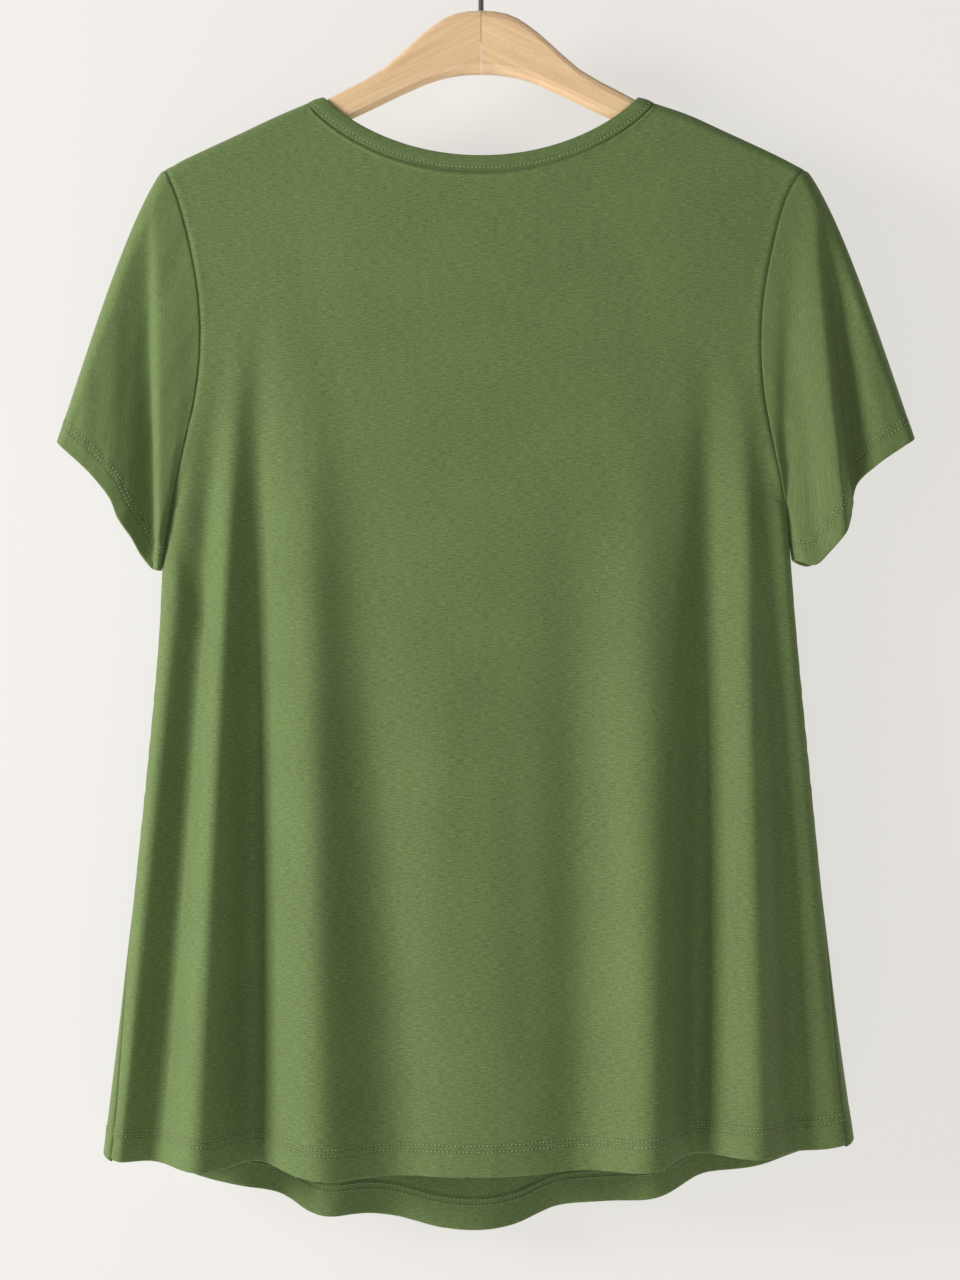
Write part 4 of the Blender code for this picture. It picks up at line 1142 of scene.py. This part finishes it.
def stitch_tree(thread):
    """Geometry Nodes: one small stitch after another along each line of an edge mesh."""
    tree = bpy.data.node_groups.new("stitches_along_lines", "GeometryNodeTree")
    face = tree.interface
    face.new_socket("Lines", in_out="INPUT", socket_type="NodeSocketGeometry")
    for name, kind in (("Pitch", "NodeSocketFloat"), ("Stitch Length", "NodeSocketFloat"),
                       ("Thread Width", "NodeSocketFloat"), ("Thread Height", "NodeSocketFloat"),
                       ("Unevenness", "NodeSocketFloat"), ("Seed", "NodeSocketInt")):
        face.new_socket(name, in_out="INPUT", socket_type=kind)
    face.new_socket("Stitches", in_out="OUTPUT", socket_type="NodeSocketGeometry")

    def node(kind, settings=None, inputs=None):
        return add_node(tree, kind, settings, inputs)

    given = tree.nodes.new("NodeGroupInput").outputs
    curve = node("GeometryNodeMeshToCurve", None, {"Mesh": given["Lines"]})
    spaced = node("GeometryNodeResampleCurve", {"mode": "LENGTH"},
                  {"Curve": curve.outputs[0], "Length": given["Pitch"]})
    out = node("GeometryNodeInputNamedAttribute", {"data_type": "FLOAT_VECTOR"}, {"Name": "out"})
    tangent = node("GeometryNodeInputTangent")
    turned = node("FunctionNodeAxesToRotation", {"primary_axis": "X", "secondary_axis": "Z"},
                  {0: tangent.outputs[0], 1: out.outputs[0]})
    swing = node("FunctionNodeRandomValue", {"data_type": "FLOAT"},
                 {2: -STITCH_SWING, 3: STITCH_SWING, "Seed": given["Seed"]})
    swing_axis = node("ShaderNodeCombineXYZ", None, {2: swing.outputs[1]})
    swung = node("FunctionNodeEulerToRotation", None, {0: swing_axis.outputs[0]})
    rotation = node("FunctionNodeRotateRotation", {"rotation_space": "LOCAL"},
                    {0: turned.outputs[0], 1: swung.outputs[0]})
    low = node("ShaderNodeMath", {"operation": "SUBTRACT"}, {0: 1.0, 1: given["Unevenness"]})
    high = node("ShaderNodeMath", {"operation": "ADD"}, {0: 1.0, 1: given["Unevenness"]})
    size = node("FunctionNodeRandomValue", {"data_type": "FLOAT"},
                {2: low.outputs[0], 3: high.outputs[0], "Seed": given["Seed"]})
    form = node("GeometryNodeMeshUVSphere", None, {"Segments": 6, "Rings": 5, "Radius": 0.5})
    sizes = node("ShaderNodeCombineXYZ", None, {0: given["Stitch Length"],
                                                1: given["Thread Width"],
                                                2: given["Thread Height"]})
    stitch = node("GeometryNodeTransform", None,
                  {"Geometry": form.outputs[0], "Scale": sizes.outputs[0]})
    soft = node("GeometryNodeSetShadeSmooth", None, {0: stitch.outputs[0]})
    placed = node("GeometryNodeInstanceOnPoints", None,
                  {"Points": spaced.outputs[0], "Instance": soft.outputs[0],
                   "Rotation": rotation.outputs[0], "Scale": size.outputs[1]})
    real = node("GeometryNodeRealizeInstances", None, {0: placed.outputs[0]})
    dressed = node("GeometryNodeSetMaterial", None,
                   {"Geometry": real.outputs[0], "Material": thread})
    result = tree.nodes.new("NodeGroupOutput")
    tree.links.new(dressed.outputs[0], result.inputs[0])
    return tree


def line_object(name, lines):
    """Edge mesh of several lines of points, each point with its direction out of the cloth."""
    points = np.concatenate([line[0] for line in lines])
    outs = np.concatenate([line[1] for line in lines])
    edges = []
    count = 0
    for line, _ in lines:
        edges += [(count + step, count + step + 1) for step in range(len(line) - 1)]
        count += len(line)
    mesh = bpy.data.meshes.new(name)
    mesh.from_pydata(points.tolist(), edges, [])
    attribute = mesh.attributes.new("out", "FLOAT_VECTOR", "POINT")
    attribute.data.foreach_set("vector", outs.ravel())
    return linked(name, mesh)


def stitched(name, lines, sizes, seed):
    """A plain mesh of stitches along the lines, made by the Geometry Nodes tree."""
    tree = bpy.data.node_groups.get("stitches_along_lines")
    if tree is None:
        tree = stitch_tree(finish_called("green_thread"))
    source = line_object(name + "_lines", lines)
    maker = source.modifiers.new("stitches", "NODES")
    maker.node_group = tree
    numbers = {"Pitch": sizes.pitch, "Stitch Length": sizes.length,
               "Thread Width": sizes.thread, "Thread Height": sizes.thread * THREAD_FLATNESS,
               "Unevenness": STITCH_UNEVENNESS, "Seed": seed}
    for item in tree.interface.items_tree:
        if item.in_out == "INPUT" and item.name in numbers:
            maker[item.identifier] = numbers[item.name]
    graph = bpy.context.evaluated_depsgraph_get()
    mesh = bpy.data.meshes.new_from_object(source.evaluated_get(graph))
    mesh.name = name
    source.modifiers.remove(maker)
    bpy.data.objects.remove(source, do_unlink=True)
    if len(mesh.polygons) == 0:
        raise RuntimeError(name + " came out with no stitches")
    return linked(name, mesh)


def line_at(surface, distance, lift, thickness=0.0):
    """Points on the cloth at one distance from the hem, with their directions out."""
    to_hem = surface["to_hem"]
    points, normals = surface["points"], surface["normals"]
    kept, outs = [], []
    for place in range(points.shape[1]):
        gone = to_hem[::-1, place]
        if gone[-1] < distance + STITCH_ROOM:
            continue
        out = np.array([np.interp(distance, gone, normals[::-1, place, axis])
                        for axis in range(3)])
        out /= np.linalg.norm(out)
        spot = np.array([np.interp(distance, gone, points[::-1, place, axis])
                         for axis in range(3)])
        if thickness > 0:
            kept.append(spot - out * (thickness + lift))
            outs.append(-out)
        else:
            kept.append(spot + out * lift)
            outs.append(out)
    return np.array(kept), np.array(outs)


class ClothSizes(bpy.types.PropertyGroup):
    """Thickness of the cloth."""

    jersey: FloatProperty(name="Jersey", description="Thickness of one layer of jersey",
                          default=0.9 * MM, subtype="DISTANCE", unit="LENGTH")
    hem: FloatProperty(name="Hem", description="Thickness where a hem is turned up",
                       default=1.7 * MM, subtype="DISTANCE", unit="LENGTH")
    binding: FloatProperty(name="Binding", description="Thickness of the folded neck binding",
                           default=1.6 * MM, subtype="DISTANCE", unit="LENGTH")


class StitchSizes(bpy.types.PropertyGroup):
    """Sizes of the sewing."""

    pitch: FloatProperty(name="Pitch", description="Distance from one stitch to the next",
                         default=2.6 * MM, subtype="DISTANCE", unit="LENGTH")
    length: FloatProperty(name="Stitch", description="Length of one stitch on the surface",
                          default=1.9 * MM, subtype="DISTANCE", unit="LENGTH")
    thread: FloatProperty(name="Thread", description="Width of the sewing thread",
                          default=0.8 * MM, subtype="DISTANCE", unit="LENGTH")
    seed: IntProperty(name="Seed", description="Seed for the unevenness of the stitches",
                      default=7, min=0)


class FinishColours(bpy.types.PropertyGroup):
    """Colours of the garment, the hanger and the studio."""

    jersey: FloatVectorProperty(name="Jersey", description="Mean colour of the knit",
                                default=(0.128, 0.186, 0.062), subtype="COLOR", min=0, max=1)
    thread: FloatVectorProperty(name="Thread", description="Colour of the sewing thread",
                                default=(0.24, 0.32, 0.135), subtype="COLOR", min=0, max=1)
    wood: FloatVectorProperty(name="Wood", description="Colour of the hanger's beech",
                              default=(0.99, 0.645, 0.37), subtype="COLOR", min=0, max=1)
    wire: FloatVectorProperty(name="Wire", description="Colour of the hook's plating",
                              default=(0.56, 0.56, 0.57), subtype="COLOR", min=0, max=1)
    backdrop: FloatVectorProperty(name="Backdrop", description="Colour of the wall and floor",
                                  default=(0.86, 0.84, 0.81), subtype="COLOR", min=0, max=1)


class StudioSizes(bpy.types.PropertyGroup):
    """Light, wall and camera."""

    wall_y: FloatProperty(name="Wall", description="Distance of the wall behind the hook",
                          default=0.055, subtype="DISTANCE", unit="LENGTH")
    floor_z: FloatProperty(name="Floor", description="Height of the floor under the hook",
                           default=-1.3, subtype="DISTANCE", unit="LENGTH")
    key_power: FloatProperty(name="Key light", description="Power of the light at upper left",
                             default=60.0, unit="POWER")
    fill_power: FloatProperty(name="Fill light", description="Power of the light in front",
                              default=4.5, unit="POWER")
    ambient: FloatProperty(name="Ambient", description="Strength of the light all round",
                           default=0.1, min=0.0)
    eye_distance: FloatProperty(name="Camera distance", description="From the garment's plane",
                                default=1.3, subtype="DISTANCE", unit="LENGTH")
    eye_height: FloatProperty(name="Camera height", description="Height of the level camera",
                              default=-0.471, subtype="DISTANCE", unit="LENGTH")
    view_height: FloatProperty(name="View height", description="What the frame takes in",
                               default=0.832, subtype="DISTANCE", unit="LENGTH")


SURFACES = {}


def surface_of(name):
    """The worked-out surface of one piece of cloth, made once."""
    if name not in SURFACES:
        if name in ("back", "front"):
            SURFACES[name] = panel_surface(name)
        elif name == "binding":
            SURFACES[name] = band_surface()
        else:
            SURFACES[name] = sleeve_surface(name, surface_of("back"), surface_of("front"))
    return SURFACES[name]


def wall_thickness(surface, sizes, turn_up):
    """Thickness of the cloth at each point: doubled where the hem is turned up."""
    doubled = smooth((turn_up - surface["to_hem"]) / HEM_WALL_OVER)
    return (sizes.jersey + (sizes.hem - sizes.jersey) * doubled)[..., None]


def dressed(piece, node, slot):
    """Hang a finished piece on the root and hide the solid that it takes the place of."""
    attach(piece, "root")
    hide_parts(node)


class TSHIRT_OT_finishes(bpy.types.Operator):
    """Make the finishes of the cloth, thread, wood, wire and backdrop."""

    bl_idname = "tshirt.finishes"
    bl_label = "Finishes"

    def execute(self, context):
        colours = context.scene.tshirt_colours
        jersey_finish("green_jersey", colour(*colours.jersey), 1.0)
        jersey_finish("green_binding", shaded(colours.jersey, 0.95), 0.8)
        thread_finish("green_thread", colour(*colours.thread))
        wood_finish("pale_beech", colour(*colours.wood))
        wire_finish("plated_wire", colour(*colours.wire))
        backdrop_finish("pale_backdrop", colour(*colours.backdrop))
        return {"FINISHED"}


def make_panel(context, name):
    surface = surface_of(name)
    thickness = wall_thickness(surface, context.scene.tshirt_cloth, TURN_UP)
    piece = shell_object(name + "_cloth", shell(surface, thickness, False),
                         finish_called("green_jersey"))
    dressed(piece, name + "_panel", "jersey")
    return piece


class TSHIRT_OT_back(bpy.types.Operator):
    """Make the back panel, which the photograph shows."""

    bl_idname = "tshirt.back"
    bl_label = "Back panel"

    def execute(self, context):
        make_panel(context, "back")
        return {"FINISHED"}


class TSHIRT_OT_front(bpy.types.Operator):
    """Make the front panel with its deeper neckline and longer hem."""

    bl_idname = "tshirt.front"
    bl_label = "Front panel"

    def execute(self, context):
        make_panel(context, "front")
        return {"FINISHED"}


class TSHIRT_OT_sleeves(bpy.types.Operator):
    """Make both sleeves, from their armholes to their turned-up cuffs."""

    bl_idname = "tshirt.sleeves"
    bl_label = "Sleeves"

    def execute(self, context):
        for name in ("left", "right"):
            surface = surface_of(name)
            thickness = wall_thickness(surface, context.scene.tshirt_cloth, CUFF_TURN_UP)
            piece = shell_object(name + "_sleeve_cloth", shell(surface, thickness, True),
                                 finish_called("green_jersey"))
            dressed(piece, "sleeve_" + name, "jersey")
        return {"FINISHED"}


class TSHIRT_OT_binding(bpy.types.Operator):
    """Make the folded binding round the neck."""

    bl_idname = "tshirt.binding"
    bl_label = "Neck binding"

    def execute(self, context):
        surface = surface_of("binding")
        piece = shell_object("neck_binding_cloth",
                             shell(surface, context.scene.tshirt_cloth.binding, True),
                             finish_called("green_binding"))
        dressed(piece, "neck_band", "binding")
        return {"FINISHED"}


class TSHIRT_OT_stitches(bpy.types.Operator):
    bl_idname = "tshirt.stitches"
    bl_label = "Stitches"

    def execute(self, context):
        sizes = context.scene.tshirt_stitches
        cloth = context.scene.tshirt_cloth
        lift = sizes.thread * STITCH_LIFT
        made = {}
        for number, name in enumerate(("back", "front")):
            lines = []
            for row in HEM_STITCHES:
                lines.append(line_at(surface_of(name), row, lift))
                lines.append(line_at(surface_of(name), row, lift, cloth.hem))
            made[name] = stitched(name + "_hem_stitches", lines, sizes, sizes.seed + number)
        for number, name in enumerate(("left", "right")):
            lines = [line_at(surface_of(name), row, lift) for row in CUFF_STITCHES]
            made[name] = stitched(name + "_cuff_stitches", lines, sizes, sizes.seed + 2 + number)
        band = surface_of("binding")
        place = int(np.argmin(abs(band["down"][:, 0] - BAND_STITCH_SHARE * BAND_WIDTH_MM * MM)))
        line = band["points"][place] + band["normals"][place] * lift
        closing = np.arange(len(line) + 1) % len(line)
        made["binding"] = stitched("binding_stitches",
                                   [(line[closing], band["normals"][place][closing])],
                                   sizes, sizes.seed + 4)
        for name, piece in made.items():
            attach(piece, "root")
        return {"FINISHED"}


class TSHIRT_OT_hanger(bpy.types.Operator):
    """Finish the hanger's wooden arms and its wire hook."""

    bl_idname = "tshirt.hanger"
    bl_label = "Hanger"

    def execute(self, context):
        for node, finish in (("hanger_arm_left", "pale_beech"),
                             ("hanger_arm_right", "pale_beech"),
                             ("hanger_hook", "plated_wire")):
            solid = bpy.data.objects[node]
            for slot in solid.material_slots:
                slot.material = finish_called(finish)
        return {"FINISHED"}


def backdrop(studio):
    """Wall and floor in one sheet, with a rounded corner between them."""
    profile = [(studio.wall_y, BACKDROP_TOP)]
    for step in range(BACKDROP_STEPS + 1):
        angle = math.pi / 2 * step / BACKDROP_STEPS
        profile.append((studio.wall_y - BACKDROP_RADIUS * (1 - math.cos(angle)),
                        studio.floor_z + BACKDROP_RADIUS * (1 - math.sin(angle))))
    profile.append((BACKDROP_FRONT, studio.floor_z))
    points, faces = [], []
    for y, z in profile:
        points += [(-BACKDROP_HALF, y, z), (BACKDROP_HALF, y, z)]
    for step in range(len(profile) - 1):
        a = 2 * step
        faces.append((a, a + 2, a + 3, a + 1))
    mesh = bpy.data.meshes.new("backdrop")
    mesh.from_pydata(points, [], faces)
    mesh.shade_smooth()
    mesh.materials.append(finish_called("pale_backdrop"))
    made = linked("backdrop", mesh)


def area_light(name, place, aim, size, power, tint):
    """A soft square light that points at a place."""
    data = bpy.data.lights.new(name, "AREA")
    data.shape = "SQUARE"
    data.size = size
    data.energy = power
    data.color = tint
    lamp = linked(name, data)
    lamp.location = place
    lamp.rotation_euler = (Vector(aim) - Vector(place)).to_track_quat("-Z", "Y").to_euler()


class TSHIRT_OT_studio(bpy.types.Operator):
    """Make the wall and floor, the soft light and the camera."""

    bl_idname = "tshirt.studio"
    bl_label = "Studio"

    def execute(self, context):
        scene = context.scene
        studio = scene.tshirt_studio
        backdrop(studio)
        area_light("key_light", KEY_PLACE, KEY_AIM, KEY_SIZE, studio.key_power, KEY_TINT)
        area_light("fill_light", FILL_PLACE, FILL_AIM, FILL_SIZE, studio.fill_power, FILL_TINT)
        world = bpy.data.worlds.new("studio_air")
        world.use_nodes = True
        sky = world.node_tree.nodes["Background"]
        sky.inputs["Color"].default_value = SKY_TINT
        sky.inputs["Strength"].default_value = studio.ambient
        scene.world = world
        scene.view_settings.view_transform = "Standard"
        data = bpy.data.cameras.new("camera")
        data.sensor_fit = "VERTICAL"
        data.sensor_height = SENSOR_HEIGHT_MM
        data.lens = SENSOR_HEIGHT_MM * studio.eye_distance / studio.view_height
        data.clip_start = 0.01
        eye = linked("camera", data)
        eye.location = (EYE_X, -studio.eye_distance, studio.eye_height)
        eye.rotation_euler = (math.pi / 2, 0.0, 0.0)
        scene.camera = eye
        return {"FINISHED"}


OPERATORS = (TSHIRT_OT_finishes, TSHIRT_OT_back, TSHIRT_OT_front, TSHIRT_OT_sleeves,
             TSHIRT_OT_binding, TSHIRT_OT_stitches, TSHIRT_OT_hanger, TSHIRT_OT_studio)


class TSHIRT_PT_sidebar(bpy.types.Panel):
    """Lists the sizes and colours, and the steps in their order."""

    bl_idname = "TSHIRT_PT_sidebar"
    bl_label = "T-shirt on a hanger"
    bl_space_type = "VIEW_3D"
    bl_region_type = "UI"
    bl_category = "T-shirt"

    def draw(self, context):
        scene = context.scene
        for group in (scene.tshirt_cloth, scene.tshirt_stitches, scene.tshirt_colours,
                      scene.tshirt_studio):
            box = self.layout.box()
            for name in group.__annotations__:
                box.prop(group, name)
        for operator in OPERATORS:
            self.layout.operator(operator.bl_idname)


GROUPS = {"tshirt_cloth": ClothSizes, "tshirt_stitches": StitchSizes,
          "tshirt_colours": FinishColours, "tshirt_studio": StudioSizes}


def register():
    for kind in (*GROUPS.values(), *OPERATORS, TSHIRT_PT_sidebar):
        bpy.utils.register_class(kind)
    for name, kind in GROUPS.items():
        setattr(bpy.types.Scene, name, PointerProperty(type=kind))


def unregister():
    for name in GROUPS:
        delattr(bpy.types.Scene, name)
    for kind in (TSHIRT_PT_sidebar, *reversed(OPERATORS), *GROUPS.values()):
        bpy.utils.unregister_class(kind)


def main():
    register()
    bpy.ops.tshirt.finishes()
    bpy.ops.tshirt.back()
    bpy.ops.tshirt.front()
    bpy.ops.tshirt.sleeves()
    bpy.ops.tshirt.binding()
    bpy.ops.tshirt.stitches()
    bpy.ops.tshirt.hanger()
    bpy.ops.tshirt.studio()


if __name__ == "__main__":
    main()
